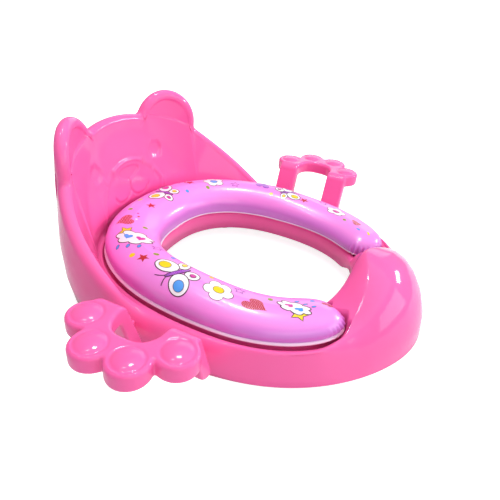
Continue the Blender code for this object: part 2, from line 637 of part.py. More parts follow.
def turned(name, profile, sides, at, mat, group):
    """Solid of revolution about Z from (radius, height) points, top to bottom."""
    mesh = bpy.data.meshes.new(name)
    mesh.from_pydata([(radius, 0.0, height) for radius, height in profile], [],
                     [(index, index + 1) for index in range(len(profile) - 1)])
    obj = bpy.data.objects.new(name, mesh)
    if mat:
        mesh.materials.append(mat)
    group.objects.link(obj)
    screw = obj.modifiers.new("Turn", "SCREW")
    screw.steps = sides
    screw.render_steps = sides
    screw.use_merge_vertices = True
    screw.merge_threshold = 0.0001 * CLEAR
    screw.use_normal_flip = True
    obj.location = at
    return obj


def sweep_outline(name, points, depth, edge, matrix, mat, group):
    """Flat plate with rounded edges: a closed 2D curve that is filled and extruded."""
    curve = bpy.data.curves.new(name, "CURVE")
    curve.dimensions = "2D"
    curve.fill_mode = "BOTH"
    spline = curve.splines.new("POLY")
    spline.points.add(len(points) - 1)
    for point, (x, y) in zip(spline.points, points):
        point.co = (x, y, 0.0, 1.0)
    spline.use_cyclic_u = True
    curve.offset = -edge
    curve.extrude = depth / 2 - edge
    curve.bevel_depth = edge
    curve.bevel_resolution = 1
    source = bpy.data.objects.new(name + "_outline", curve)
    group.objects.link(source)
    shape = bpy.data.meshes.new_from_object(source.evaluated_get(bpy.context.evaluated_depsgraph_get()))
    bpy.data.objects.remove(source)
    bpy.data.curves.remove(curve)
    work = bmesh.new()
    work.from_mesh(shape)
    bmesh.ops.transform(work, matrix=matrix, verts=work.verts)
    bmesh.ops.remove_doubles(work, verts=work.verts, dist=CLEAR / 10)
    bmesh.ops.recalc_face_normals(work, faces=work.faces)
    work.to_mesh(shape)
    work.free()
    shape.name = name
    obj = bpy.data.objects.new(name, shape)
    shape.materials.clear()
    if mat:
        shape.materials.append(mat)
    group.objects.link(obj)
    return obj


def cut(obj, tool, operation="DIFFERENCE"):
    """Boolean with the exact solver, kept as a modifier."""
    boolean = obj.modifiers.new(operation.title(), "BOOLEAN")
    boolean.operation = operation
    boolean.solver = "EXACT"
    boolean.object = tool
    tool.hide_render = True
    tool.display_type = "WIRE"


def block(name, low, high, group):
    """Box between two corners."""
    (x0, y0, z0), (x1, y1, z1) = low, high
    points = [(x, y, z) for z in (z0, z1) for y in (y0, y1) for x in (x0, x1)]
    faces = [(0, 2, 3, 1), (4, 5, 7, 6), (0, 1, 5, 4), (2, 6, 7, 3), (0, 4, 6, 2), (1, 3, 7, 5)]
    return mesh_object(name, points, faces, None, group)


def matrix_of(x_axis, y_axis, origin):
    """Frame from two axes and an origin."""
    x_axis, y_axis = Vector(x_axis), Vector(y_axis)
    z_axis = x_axis.cross(y_axis)
    rows = zip(x_axis, y_axis, z_axis, origin)
    return Matrix([tuple(row) for row in rows] + [(0.0, 0.0, 0.0, 1.0)])


def face_point(chart, x, z, lift):
    """Point in front of the backrest's inner face, lifted off it towards the child."""
    angle = math.pi / 2 - abs(x) / REAR_REACH
    for _ in range(6):
        s = float(np.interp(-angle, -chart.angle, chart.s))
        top_z = float(chart.head_line(s)) - RIM_RADIUS
        up = (z - DECK_TOP - CREASE_RISE) / (top_z - DECK_TOP - CREASE_RISE)
        inner = float(deck_edge(angle))
        radius = inner + (float(crest_radius(angle)) - RIM_RADIUS - inner) * up - lift
        radius -= float(face_bulge(x, z))
        angle = math.acos(abs(x) / radius)
    return math.copysign(radius * math.cos(angle), x), radius * math.sin(angle), z


def face_plate(name, outline, low, high, edge, group):
    """Plate that lies on the curved face: outline is a list of (x, z) round the middle."""
    chart = Chart()
    middle = np.mean(outline, axis=0)
    points = []
    wide = 1.0 + edge / NOSE[-1][1]
    levels = ((1.0, low), (wide, high - edge), (wide, high), (0.66, high), (0.33, high))
    for scale, lift in levels:
        for place in outline:
            x, z = middle + (np.array(place) - middle) * scale
            points.append(face_point(chart, x, z, lift))
    count = len(outline)
    faces = ring_faces(len(levels), count)
    for scale in (0.66, 0.33):
        for place in outline:
            x, z = middle + (np.array(place) - middle) * scale
            points.append(face_point(chart, x, z, low))
    points.append(face_point(chart, *middle, high))
    points.append(face_point(chart, *middle, low))
    last = (len(levels) - 1) * count
    back = len(levels) * count
    for place in range(count):
        after = (place + 1) % count
        faces.append((last + place, last + after, len(points) - 2))
        faces.append((place, back + place, back + after, after))
        faces.append((back + place, back + count + place, back + count + after, back + after))
        faces.append((back + count + place, len(points) - 1, back + count + after))
    obj = mesh_object(name, points, faces, None, group)
    outwards(obj)
    return obj


def outwards(obj):
    """Weld an object's doubled corners and turn its faces outwards."""
    work = bmesh.new()
    work.from_mesh(obj.data)
    bmesh.ops.remove_doubles(work, verts=work.verts, dist=CLEAR / 20)
    bmesh.ops.recalc_face_normals(work, faces=work.faces)
    work.to_mesh(obj.data)
    work.free()


def round_bar(name, path, radius, lift, cyclic, group):
    """Round bar along a list of (x, z), lifted off the face, with lift in its own radii."""
    chart = Chart()
    curve = bpy.data.curves.new(name, "CURVE")
    curve.dimensions = "3D"
    spline = curve.splines.new("POLY")
    spline.points.add(len(path) - 1)
    for point, (x, z) in zip(spline.points, path):
        point.co = (*face_point(chart, x, z, lift * radius), 1.0)
    spline.use_cyclic_u = cyclic
    curve.bevel_depth = radius
    curve.bevel_resolution = 0
    curve.use_fill_caps = True
    source = bpy.data.objects.new(name + "_path", curve)
    group.objects.link(source)
    shape = bpy.data.meshes.new_from_object(source.evaluated_get(bpy.context.evaluated_depsgraph_get()))
    bpy.data.objects.remove(source)
    bpy.data.curves.remove(curve)
    obj = bpy.data.objects.new(name, shape)
    group.objects.link(obj)
    outwards(obj)
    return obj


def merged(name, objects, group):
    """One mesh object from several separate solids."""
    work = bmesh.new()
    bpy.context.view_layer.update()
    for obj in objects:
        shape = bpy.data.meshes.new_from_object(obj.evaluated_get(bpy.context.evaluated_depsgraph_get()))
        shape.transform(obj.matrix_world)
        work.from_mesh(shape)
        bpy.data.meshes.remove(shape)
        bpy.data.objects.remove(obj)
    bmesh.ops.recalc_face_normals(work, faces=work.faces)
    mesh = bpy.data.meshes.new(name)
    work.to_mesh(mesh)
    work.free()
    obj = bpy.data.objects.new(name, mesh)
    group.objects.link(obj)
    return obj


def polar(angle_degrees, radius):
    angle = math.radians(angle_degrees)
    return radius * math.cos(angle), radius * math.sin(angle)


def band_radius(degrees):
    """Middle of the recess's floor at a polar angle."""
    angle = math.radians(degrees)
    return (float(on_ring(angle, OPENING)) + BEAD_WIDTH + float(recess_edge(angle))) / 2


def both_sides(angles):
    return [value for angle in angles for value in (angle, 180.0 - angle)]


for old in list(bpy.data.objects):
    bpy.data.objects.remove(old, do_unlink=True)

PARTS = collection("potty_training_seat")
TOOLS = collection("cutters")

PINK = material("pink_gloss_plastic", (0.93, 0.25, 0.50), 0.28)
LILAC = material("lilac_soft_vinyl", (0.85, 0.42, 0.82), 0.35)
FOAM = material("cushion_foam_white", (0.90, 0.88, 0.80), 0.95)
BOARD = material("cushion_board_white", (0.88, 0.88, 0.86), 0.50)
RUBBER = material("grip_pad_rubber", (0.62, 0.60, 0.62), 0.85)

# Shell: one grid of rings from the flange in the opening, over bead, recess, deck and rim,
# down the outer wall to the foot; then the wall's thickness goes on its inside.
HALF = shell_half(COLUMN_PITCH, (-1.0, -0.33, 0.33, 1.0), (0.0, 0.1, 0.5, 0.9, 1.0), (0.45, 0.9),
                  (55,), (0.1, 0.2, 0.3, 0.4, 0.5, 0.65, 0.8, 0.9), (90, 60, 30, 0), (0.5, 1.0))
GRID = closed_ring(HALF)
SHELL = mesh_object("seat_shell", GRID.reshape(-1, 3), ring_faces(*GRID.shape[:2]), PINK, PARTS)
wall = SHELL.modifiers.new("Wall", "SOLIDIFY")
wall.thickness = SHELL_WALL
wall.offset = -1.0
wall.use_even_offset = True
wall.use_rim = True

# Face: a rib round the muzzle, sunk eyes, nose and mouth.
low_turn = math.degrees(math.asin(max((MUZZLE_LOW - MUZZLE_Z) / MUZZLE_RADIUS, -0.5)))
muzzle = [(MUZZLE_RADIUS * math.cos(turn), MUZZLE_Z + MUZZLE_RADIUS * math.sin(turn))
          for turn in np.radians(np.linspace(low_turn, 180 - low_turn, 33))]
cut(SHELL, round_bar("muzzle_rib", muzzle, RIB_RADIUS, -0.2, False, TOOLS), "UNION")
sunk = []
for side in (-1, 1):
    x, y, z = face_point(Chart(), side * EYE_X, EYE_Z, 0.0)
    eye = turned("eye_tool", ((0, OVERRUN), (EYE_RADIUS + FACE_DEPTH / 2, OVERRUN), (EYE_RADIUS, 0),
                              (EYE_RADIUS - FACE_DEPTH / 2, -FACE_DEPTH), (0, -FACE_DEPTH)),
                 20, (x, y, z), None, TOOLS)
    eye.rotation_mode = "QUATERNION"
    eye.rotation_quaternion = Vector((-x, -y, FACE_LEAN * math.hypot(x, y))).to_track_quat("Z", "Y")
    sunk.append(eye)
cut(SHELL, merged("eye_tools", sunk, TOOLS))


def mirrored(path):
    """A line from its mirror image's far end, past the middle, to its own far end."""
    return [(-x, z) for x, z in path[::-1]] + list(path)


cut(SHELL, face_plate("nose_tool", mirrored(NOSE), -FACE_DEPTH, OVERRUN, FACE_DEPTH, TOOLS))
cut(SHELL, round_bar("mouth_tool", mirrored(MOUTH), LINE_RADIUS, 0.3, False, TOOLS))
cut(SHELL, round_bar("stem_tool", STEM, 0.9 * LINE_RADIUS, 0.3, False, TOOLS))

# Pad bosses under the floor, holes for the cushion's studs, slots for the handles' tongues.
bosses, bores = [], []
for degrees in both_sides(PAD_ANGLES):
    place = (*polar(degrees, band_radius(degrees)), 0.0)
    high, low = RECESS_FLOOR - SHELL_WALL / 2, PAD_THICK + CLEAR
    bosses.append(turned("boss", ((0, high), (BOSS_RADIUS, high), (BOSS_RADIUS, low), (0, low)),
                         20, place, None, TOOLS))
    top = PAD_THICK + PAD_STEM_RISE + 2 * CLEAR
    bores.append(turned("bore", ((0, top), (BOSS_BORE, top), (BOSS_BORE, -OVERRUN), (0, -OVERRUN)),
                        16, place, None, TOOLS))
for degrees in both_sides(STUD_ANGLES):
    place = (*polar(degrees, band_radius(degrees)), 0.0)
    high, low = RECESS_FLOOR + OVERRUN, RECESS_FLOOR - SHELL_WALL - OVERRUN
    radius = STUD_BULB + CLEAR
    bores.append(turned("stud_hole", ((0, high), (radius, high), (radius, low), (0, low)),
                        16, place, None, TOOLS))
for side in (-1, 1):
    for leg in (-1, 1):
        middle = leg * (LEG_INNER + LEG_WIDTH / 2) + TONGUE_SHIFT
        reach = TONGUE_WIDTH / 2 + CLEAR
        ends = sorted((side * (TONGUE_TIP - CLEAR), side * (HALF_WIDTH + OVERRUN)))
        bores.append(block("slot", (ends[0], middle - reach, TONGUE_LOW - CLEAR),
                           (ends[1], middle + reach, TONGUE_HIGH + CLEAR), TOOLS))
cut(SHELL, merged("bosses", bosses, TOOLS), "UNION")
cut(SHELL, merged("bores_and_slots", bores, TOOLS))

# Paw handle: a toed plate, two leaning legs with tongues, and four domed toe pads.
outline = []
for degrees in np.linspace(-2 * TOE_PITCH, 2 * TOE_PITCH, 49):
    x, y = polar(degrees, float(toe_line(degrees)))
    outline.append((PAW_CENTRE + x, y))
inside_x = LEG_TOP_X + LEG_SHOULDER / 2
outline.append((inside_x, PAW_SIDE))
outline.append((inside_x, LEG_INNER))
reach = PAW_CENTRE + NOTCH_DEPTH - LEG_TOP_X
for degrees in np.linspace(78, -78, 13):
    across, along = math.cos(math.radians(degrees)), math.sin(math.radians(degrees))
    outline.append((LEG_TOP_X + reach * across ** 0.7,
                    math.copysign(LEG_INNER * abs(along) ** 0.7, along)))
outline.append((inside_x, -LEG_INNER))
outline.append((inside_x, -PAW_SIDE))
middle_z = PAW_TOP - PAW_THICK / 2
PAW = sweep_outline("handle_left", outline, PAW_THICK, PAW_ROUND,
                    matrix_of((1, 0, 0), (0, 1, 0), (0, 0, middle_z)), PINK, PARTS)


def leg_x(z):
    """Inner face of a leg."""
    return LEG_TOP_X + LEG_LEAN * (z - PAW_TOP)


thick_x = LEG_THICK * math.hypot(1.0, LEG_LEAN)
profile = [(leg_x(LEG_FOOT), LEG_FOOT)]
turn_z = LEG_FOOT + LEG_TOE
centre_x = leg_x(turn_z) + thick_x - LEG_TOE
for degrees in (-90, -60, -30, 0):
    x, z = polar(degrees, LEG_TOE)
    profile.append((centre_x + x, turn_z + z))
inside_z = PAW_TOP - PAW_THICK * 0.6
profile.append((leg_x(inside_z) + thick_x, inside_z))
top_z = PAW_TOP - CLEAR / 3
profile.append((leg_x(PAW_TOP) + LEG_SHOULDER * 1.6, inside_z))
profile.append((leg_x(PAW_TOP) + LEG_SHOULDER * 1.6, top_z))
for degrees in (90, 120, 150, 170):
    x, z = polar(degrees, LEG_SHOULDER)
    profile.append((leg_x(PAW_TOP) + LEG_SHOULDER * 0.85 + x, top_z - LEG_SHOULDER + z))
pieces = []
for leg in (-1, 1):
    middle = leg * (LEG_INNER + LEG_WIDTH / 2)
    pieces.append(sweep_outline("leg", profile, LEG_WIDTH, PAW_ROUND * 0.8,
                                matrix_of((1, 0, 0), (0, 0, 1), (0, middle, 0)), None, TOOLS))
for piece in pieces:
    cut(PAW, piece, "UNION")
tongues = []
for leg in (-1, 1):
    middle = leg * (LEG_INNER + LEG_WIDTH / 2) + TONGUE_SHIFT
    tongues.append(block("tongue", (TONGUE_TIP, middle - TONGUE_WIDTH / 2, TONGUE_LOW),
                         (leg_x(TONGUE_HIGH) + LEG_THICK / 2, middle + TONGUE_WIDTH / 2, TONGUE_HIGH), TOOLS))
cut(PAW, merged("tongues", tongues, TOOLS), "UNION")
grooves, toes = [], []
for turn in TOE_TURNS:
    x, y = polar(turn * TOE_PITCH, TOE_CENTRE)
    place = (PAW_CENTRE + x, y, PAW_TOP)
    rim = TOE_RADIUS + 2 * TOE_GROOVE
    walls = ((0, OVERRUN), (rim, OVERRUN), (rim, -TOE_GROOVE), (0, -TOE_GROOVE))
    grooves.append(turned("toe_groove", walls, 20, place, None, TOOLS))
    dome = [(TOE_RADIUS * math.sin(math.radians(step)),
             TOE_RISE * math.cos(math.radians(step)) ** 0.8) for step in (0, 30, 55, 75)]
    dome += [(TOE_RADIUS, -TOE_GROOVE / 2), (TOE_RADIUS, -PAW_THICK / 3), (0, -PAW_THICK / 3)]
    toes.append(turned("toe", dome, 20, place, None, TOOLS))
cut(PAW, merged("toe_grooves", grooves, TOOLS))
cut(PAW, merged("toe_domes", toes, TOOLS), "UNION")
bpy.context.view_layer.update()
fixed(PAW)
other = PAW.data.copy()
for corner in other.vertices:
    corner.co.x = -corner.co.x
other.flip_normals()
OTHER_PAW = bpy.data.objects.new("handle_right", other)
PARTS.objects.link(OTHER_PAW)


# Cushion: rings between an inner and an outer curve, closed by rounded ends, that close in on
# the middle line of the band.
def band_ring(inner, outer, end_gap, share, sides, caps):
    """(x, y, w) round the band; share 0 is its edge and 1 its middle line, w runs from -1 to 1."""
    end = math.radians(90 + GUARD_ANGLE) - end_gap / SEAM_SIDE
    half = (SEAM_SIDE - SEAM_INNER_SIDE) / 2
    pull = half / (SEAM_SIDE - half)
    corner = pull * CUSHION_CORNER * 2
    straight = end - corner
    places = []
    for order in range(sides + 1):
        places.append((straight * (1 - 2 * order / sides), 1.0, False))
    for order in range(1, caps):
        w = math.cos(math.pi * order / caps)
        places.append((-1.0, w, True))
    for order in range(sides + 1):
        places.append((-straight * (1 - 2 * order / sides), -1.0, False))
    for order in range(1, caps):
        w = -math.cos(math.pi * order / caps)
        places.append((1.0, w, True))
    points = []
    for turn, w, cap in places:
        if cap:
            reach = end - corner * (1.0 - (1.0 - abs(w) ** 3.0) ** (1 / 3.0)) - share * pull
            turn = math.copysign(reach, turn)
        else:
            turn = turn * (straight - share * pull) / straight
        angle = math.pi / 2 - turn
        low, high = float(inner(angle)), float(outer(angle))
        radius = (low + high) / 2 + (high - low) / 2 * w * (1.0 - share)
        points.append((radius * math.cos(angle), radius * math.sin(angle), w))
    return points


def seam_inner(angle):
    return on_ring(angle, SEAM_IN)


def seam_outer(angle):
    return np.minimum(on_ring(angle, SEAM_OUT), recess_edge(angle) - CUSHION_GAP * 0.7)


def board_outer(angle):
    """The board's outer edge, which stays inside the cover's skirt."""
    skirt = seam_outer(angle) - SKIRT_GAP - COVER_WALL - 3 * CLEAR
    return np.minimum(recess_edge(angle) - BOARD_INSET, skirt)


def band(name, inset, foot_height, crown_drop, heights, closed_below, mat):
    """Cushion-shaped solid or skin, drawn in by inset all round."""
    rings = []
    foot_gap = BOARD_EDGE_GAP - COVER_WALL - 2 * CLEAR

    def level(inner, outer, gap, share, height):
        ring = band_ring(inner, outer, gap, share, 20, 6)
        rings.append([(x, y, height(x, y, w)) for x, y, w in ring])

    def foot_inner(angle):
        return on_ring(angle, OPENING) + BEAD_WIDTH + BOARD_BEAD_GAP - COVER_WALL - 2 * CLEAR + inset

    def foot_outer(angle):
        return board_outer(angle) + COVER_WALL + 2 * CLEAR - inset

    def skirt_inner(angle):
        return on_ring(angle, OPENING) + BEAD_WIDTH + SKIRT_GAP + inset

    def skirt_outer(angle):
        return seam_outer(angle) - SKIRT_GAP - inset

    if closed_below:
        level(foot_inner, foot_outer, foot_gap + inset, 1.0, lambda x, y, w: foot_height)
    level(foot_inner, foot_outer, foot_gap + inset, 0.0, lambda x, y, w: foot_height)
    level(skirt_inner, skirt_outer, foot_gap + inset, 0.0, lambda x, y, w: SKIRT_HEIGHT + inset)

    def crown(x, y):
        """Height of the middle line, which falls towards the front ends."""
        front = smooth((CROWN_LEVEL - math.degrees(math.atan2(y, abs(x)))) / CROWN_RUN)
        return CUSHION_TOP - crown_drop - CUSHION_FALL * float(front)

    for share in heights:
        pull = 1.0 - (1.0 - share ** 2.3) ** (1 / 2.3)
        swell = CUSHION_BULGE * 4.0 * share * (1.0 - share) * (1.0 - pull) - inset * (2.0 - share)

        def height(x, y, w, share=share):
            across = (SEAM_HEIGHT - SEAM_INSIDE_HEIGHT) * w
            seam = (SEAM_HEIGHT + SEAM_INSIDE_HEIGHT + across) / 2 + inset * 1.4
            return seam + (crown(x, y) - seam) * share
        level(lambda angle: seam_inner(angle) - swell, lambda angle: seam_outer(angle) + swell,
              CUSHION_END_GAP + END_WALL - swell, pull, height)
    count = len(rings[0])
    points = [point for ring in rings for point in ring]
    obj = mesh_object(name, points, ring_faces(len(rings), count), mat, PARTS)
    outwards(obj)
    return obj


COVER = band("cushion_cover", 0.0, COVER_FOOT, 0.0, (0.0, 0.18, 0.42, 0.66, 0.85, 0.95, 1.0), False, LILAC)
skin = COVER.modifiers.new("Skin", "SOLIDIFY")
skin.thickness = COVER_WALL
skin.offset = -1.0
skin.use_even_offset = True
skin.use_rim = True
BOARD_TOP = RECESS_FLOOR + CLEAR + BOARD_THICK
CORE = band("cushion_foam", COVER_WALL + 4 * CLEAR, BOARD_TOP + CLEAR, COVER_WALL + 2 * CLEAR,
            (0.0, 0.25, 0.55, 0.82, 0.95, 1.0), True, FOAM)

edge = band_ring(lambda angle: on_ring(angle, OPENING) + BEAD_WIDTH + BOARD_BEAD_GAP,
                 board_outer, BOARD_EDGE_GAP, 0.0, 20, 6)
count = len(edge)
points = [(x, y, z) for z in (RECESS_FLOOR + CLEAR, BOARD_TOP) for x, y, w in edge]
faces = ring_faces(2, count) + [tuple(range(count)), tuple(range(2 * count - 1, count - 1, -1))]
PLATE = mesh_object("cushion_board", points, faces, BOARD, PARTS)
outwards(PLATE)
holes = []
SEAT = BOARD_TOP - STUD_HEAD_THICK - 2 * CLEAR
for degrees in both_sides(STUD_ANGLES):
    place = (*polar(degrees, band_radius(degrees)), 0.0)
    high, low = BOARD_TOP + OVERRUN, RECESS_FLOOR - OVERRUN
    wide, narrow = STUD_HEAD + CLEAR, STUD_NECK + CLEAR
    steps = ((0, high), (wide, high), (wide, SEAT), (narrow, SEAT), (narrow, low), (0, low))
    holes.append(turned("stud_bore", steps, 16, place, None, TOOLS))
cut(PLATE, merged("stud_bores", holes, TOOLS))

for order, degrees in enumerate(both_sides(STUD_ANGLES)):
    base = SEAT + CLEAR
    low = RECESS_FLOOR - STUD_LENGTH
    bulb = RECESS_FLOOR - SHELL_WALL - OVERRUN / 2
    stud = turned(f"cushion_stud_{order + 1}",
                  ((0, base + STUD_HEAD_THICK), (STUD_HEAD, base + STUD_HEAD_THICK), (STUD_HEAD, base),
                   (STUD_NECK, base), (STUD_NECK, bulb + OVERRUN / 2), (STUD_BULB, bulb - OVERRUN / 4),
                   (STUD_NECK, low), (0, low - OVERRUN / 4)), 16,
                  (*polar(degrees, band_radius(degrees)), 0.0), BOARD, PARTS)
    shade(stud)

NAMES = ("grip_pad_front_left", "grip_pad_front_right", "grip_pad_rear_left", "grip_pad_rear_right")
for name, degrees in zip(NAMES, both_sides(PAD_ANGLES)):
    top = PAD_THICK + PAD_STEM_RISE
    soft = PAD_THICK / 6
    pad = turned(name, ((0, top), (PAD_STEM - soft, top), (PAD_STEM, top - soft), (PAD_STEM, PAD_THICK),
                        (PAD_RADIUS - soft, PAD_THICK), (PAD_RADIUS, PAD_THICK - soft), (PAD_RADIUS, soft),
                        (PAD_RADIUS - soft, 0), (0, 0)), 20,
                 (*polar(degrees, band_radius(degrees)), 0.0), RUBBER, PARTS)
    shade(pad)

for obj in (SHELL, PAW, OTHER_PAW, COVER, CORE):
    shade(obj)
for tool in TOOLS.objects:
    tool.hide_render = True
    tool.display_type = "WIRE"
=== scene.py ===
"""Looks of the potty training seat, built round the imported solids. Metres, +Z up.

The shell, the handles and the cushion are surfaces worked out from the same values as the
solids, finer and with the relief, seams and puckers of the real ones.
"""
import math

import bpy
import numpy as np
from mathutils import Matrix, Vector
from mathutils.bvhtree import BVHTree


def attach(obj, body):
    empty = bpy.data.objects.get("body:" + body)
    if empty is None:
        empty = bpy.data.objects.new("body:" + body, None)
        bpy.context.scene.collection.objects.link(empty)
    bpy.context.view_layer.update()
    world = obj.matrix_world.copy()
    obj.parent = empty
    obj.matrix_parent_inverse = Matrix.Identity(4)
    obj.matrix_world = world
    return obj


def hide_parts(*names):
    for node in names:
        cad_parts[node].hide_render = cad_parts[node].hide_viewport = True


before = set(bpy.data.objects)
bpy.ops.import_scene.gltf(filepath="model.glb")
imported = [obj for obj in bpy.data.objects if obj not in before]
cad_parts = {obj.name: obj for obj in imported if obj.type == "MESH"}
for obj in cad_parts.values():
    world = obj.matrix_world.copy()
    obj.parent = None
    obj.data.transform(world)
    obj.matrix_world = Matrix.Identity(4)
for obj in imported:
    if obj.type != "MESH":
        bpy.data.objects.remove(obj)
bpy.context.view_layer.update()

# Spacing of the shell's columns, which is closer in front of the face's relief
SHELL_PITCH = 0.0032
FACE_PITCH = 0.00095
FACE_REACH = 0.0500          # from the middle, along the rim
EAR_SPACING = 0.62           # these are shares of the shell's pitch
NOTCH_SPACING = 0.28
ARM_SPACING = 1.1
END_SPACING = 0.36

# Shell, overall
HALF_WIDTH = 0.1250          # outer wall at its widest
WIDEST_Y = 0.0290            # where that is
REAR_REACH = 0.1550          # outer wall behind the origin
FRONT_REACH = 0.1550         # foot of the splash guard
SHELL_WALL = 0.0024          # thickness of the moulding
EDGE_LIFT = 0.0010           # lower edge above the resting plane
WALL_DRAFT = 0.0020          # the outer wall leans in by this at the back
WALL_SWELL = 0.0042          # and swells by this half way down, at the sides of the back
DRAFT_RUN = 40.0             # degrees behind the X axis over which the lean comes in
SWELL_FROM = 22.0            # degrees behind the X axis between which it swells
SWELL_TO = 86.0
SWELL_RUN = 20.0             # and degrees over which it comes and goes

# Opening and the bead round it
SIDE_BAND = 0.0510           # outer wall to opening, at the sides, the rear and the front
REAR_BAND = 0.0735
FRONT_BAND = 0.0660
OPENING_SIDE = HALF_WIDTH - SIDE_BAND
OPENING_REAR = REAR_REACH - REAR_BAND
OPENING_FRONT = FRONT_REACH - FRONT_BAND
FLANGE_LOW = 0.0100          # lower edge of the flange at the sides and back
FLANGE_LOW_FRONT = 0.0180    # and below the splash guard
FLANGE_RISE_FROM = 52.0      # degrees forward of the X axis where it starts to rise
FLANGE_RISE_RUN = 14.0
BEAD_TOP = 0.0275
BEAD_WIDTH = 0.0074

# Recess for the cushion
RECESS_FLOOR = 0.0190
SIDE_DECK = 0.0110           # outer wall to recess
REAR_DECK = 0.0250
FRONT_DECK = 0.0280
RECESS_SIDE = HALF_WIDTH - SIDE_DECK
RECESS_MIDDLE_Y = -0.0150    # the recess is widest here
RECESS_REAR = REAR_REACH - REAR_DECK
RECESS_FRONT = FRONT_REACH - FRONT_DECK
RECESS_CORNER = 0.0100       # plan radius of the corners at the splash guard
CORNER_SHARE = 0.94          # share of a quarter turn's depth that the corner's arc takes
CORNER_REACH = 1.3 * RECESS_CORNER      # the columns are closer this near to its end
RECESS_LIP = 0.0026          # rounded edge between recess and deck
CREST_FROM_RECESS = RECESS_LIP * 1.4    # the crest stays this far out
CREST_FROM_DECK = RECESS_LIP * 0.4
DECK_TOP = 0.0300
GUARD_ANGLE = 64.4           # degrees; the recess ends here, forward of the X axis
END_WALL = 0.0014            # half the run of the recess's end wall

# Foot of the backrest's inner face
CREASE_FROM_SIDE = 0.0095    # outer wall to crease
CREASE_FROM_REAR = 0.0215
CREASE_SIDE = HALF_WIDTH - CREASE_FROM_SIDE
CREASE_MIDDLE_Y = 0.0100
CREASE_REAR = REAR_REACH - CREASE_FROM_REAR
CREASE_RISE = 0.0010         # of the deck's edge at the backrest
CREASE_RISE_FROM = 10.0      # degrees behind the X axis where it starts to rise
CREASE_RISE_RUN = 20.0

# Rim, head and ears, on the chart of the backrest
RIM_RADIUS = 0.0055
HEAD_TOP = 0.1210
HEAD_HALF = 0.0350           # from the middle to the inner notch, along the rim
HEAD_DROP = 0.0039
EAR_RADIUS = 0.0330
EAR_HEIGHT = 0.1036          # ear centre above the resting plane
NOTCH_BELOW = min(abs(HEAD_TOP - HEAD_DROP - EAR_HEIGHT), EAR_RADIUS)
EAR_FROM_NOTCH = math.sqrt(EAR_RADIUS ** 2 - NOTCH_BELOW ** 2)    # ear centre to inner notch
EAR_TUCK = 11.9              # degrees that the ear goes on past its widest point
EAR_RECESS = 0.0016
EAR_RIM = 0.0080             # width of the ear's rim
NOTCH_ROUND = 0.0035         # rounding of the corners in the rim
NOTCH_REACH = 2.5 * NOTCH_ROUND         # the columns are closer this near to a corner
RIM_SLOPE = 0.75             # fall of the rim from ear to arm, in height over length
RIM_STAND_HEIGHT = 0.0169    # the straight fall ends this high above the deck
RIM_FAIRING = 0.0360         # run of the curve that brings it down to the deck

# Splash guard
GUARD_TOP = 0.0640
GUARD_SLOPE_RUN = 0.0550     # from the ridge forward to the foot
GUARD_RIDGE = FRONT_REACH - GUARD_SLOPE_RUN
GUARD_FOOT = 0.0270          # height where the inner face starts to roll forwards
GUARD_FROM = 46.0            # degrees forward of the X axis where the rim becomes the ridge
GUARD_RUN = 9.0

# Face
EYE_RADIUS = 0.0072
EYE_X = 0.0419
EYE_Z = 0.0837
EYE_DEPTH = 0.0015           # eyes and nose
EYE_EDGE = 0.0014            # run of their edge
MUZZLE_RADIUS = 0.0450
MUZZLE_Z = 0.0380
RIB_RADIUS = 0.0013          # rib round the muzzle
RIB_HEIGHT = 1.1             # in rib radii
RIB_REACH = 1.5
FACE_BULGE = 0.0060          # the middle of the face stands out towards the child by this
BULGE_FLAT = 0.0340          # full height this far from the muzzle's middle
BULGE_REACH = 0.0750         # and none here
BULGE_FOOT = 0.0190          # run over which it comes in above the crease
MUZZLE_LOW = 0.0350           # no rib below this
LINE_DEPTH = 0.0014          # mouth and the stem above it
LINE_RADIUS = 0.0013
LINE_REACH = 1.4             # in line radii
FACE_FRONT_Y = 0.06          # the face is behind this
# Lines of the face, in muzzle radii from the muzzle's middle
STEM_SHARES = ((0.0016, 0.600), (-0.0016, 0.367))
MOUTH_SHARES = ((0.018, 0.367), (0.078, 0.278), (0.178, 0.222), (0.278, 0.204), (0.400, 0.233),
                (0.489, 0.300), (0.533, 0.367))
NOSE_SHARES = ((0.030, 0.600), (0.100, 0.625), (0.220, 0.690), (0.310, 0.755), (0.300, 0.820),
               (0.180, 0.867), (0.040, 0.880))

# Paw handles
PAW_TOP = 0.0600
PAW_THICK = 0.0130
PAW_STAND_OFF = 0.0250       # outer wall to the point round which the toes are laid out
PAW_CENTRE = HALF_WIDTH + PAW_STAND_OFF
PAW_VALLEY = 0.0375          # the valleys between the toes are filled out to about here
TOE_FILL = 14                # how sharp the valleys stay
PAW_SIDE = 0.0375            # half the width at the legs
PAW_TIP = 0.0495
TOE_PITCH = 42.5             # degrees
TOE_TURNS = (-1.55, -0.5, 0.5, 1.55)    # places of the toes, in pitches
TOE_CENTRE = 0.0362
TOE_RADIUS = 0.0095
TOE_RISE = 0.0018
TOE_SINK = 0.0012            # the dome starts this far below the plate's top
TOE_BLEND = 0.0006
GROOVE_RADIUS = 0.0011       # groove round a toe
GROOVE_SHIFT = 0.0003        # its centre line is this far out and up
PAW_ROUND = 0.0028
PAW_PITCH = 0.00085          # cells of the paw's field
LEG_INNER = 0.0175           # half the gap between the legs
LEG_WIDTH = 0.0205
LEG_THICK = 0.0105
LEG_STAND_OFF = 0.0210       # outer wall to a leg's inner face, at the plate's top
LEG_TOP_X = HALF_WIDTH + LEG_STAND_OFF
LEG_LEAN = 0.32              # run outwards over rise
LEG_FOOT = 0.0165
LEG_SHOULDER = 0.0080        # rounding where a leg runs into the plate
LEG_TOE = 0.0090             # rounding of its lower end
LEG_BLEND = 0.0010
NOTCH_DEPTH = 0.0200
TONGUE_WIDTH = 0.0056
TONGUE_SHIFT = 0.0062        # behind the middle of the leg
TONGUE_LOW = 0.0185
TONGUE_HIGH = 0.0245
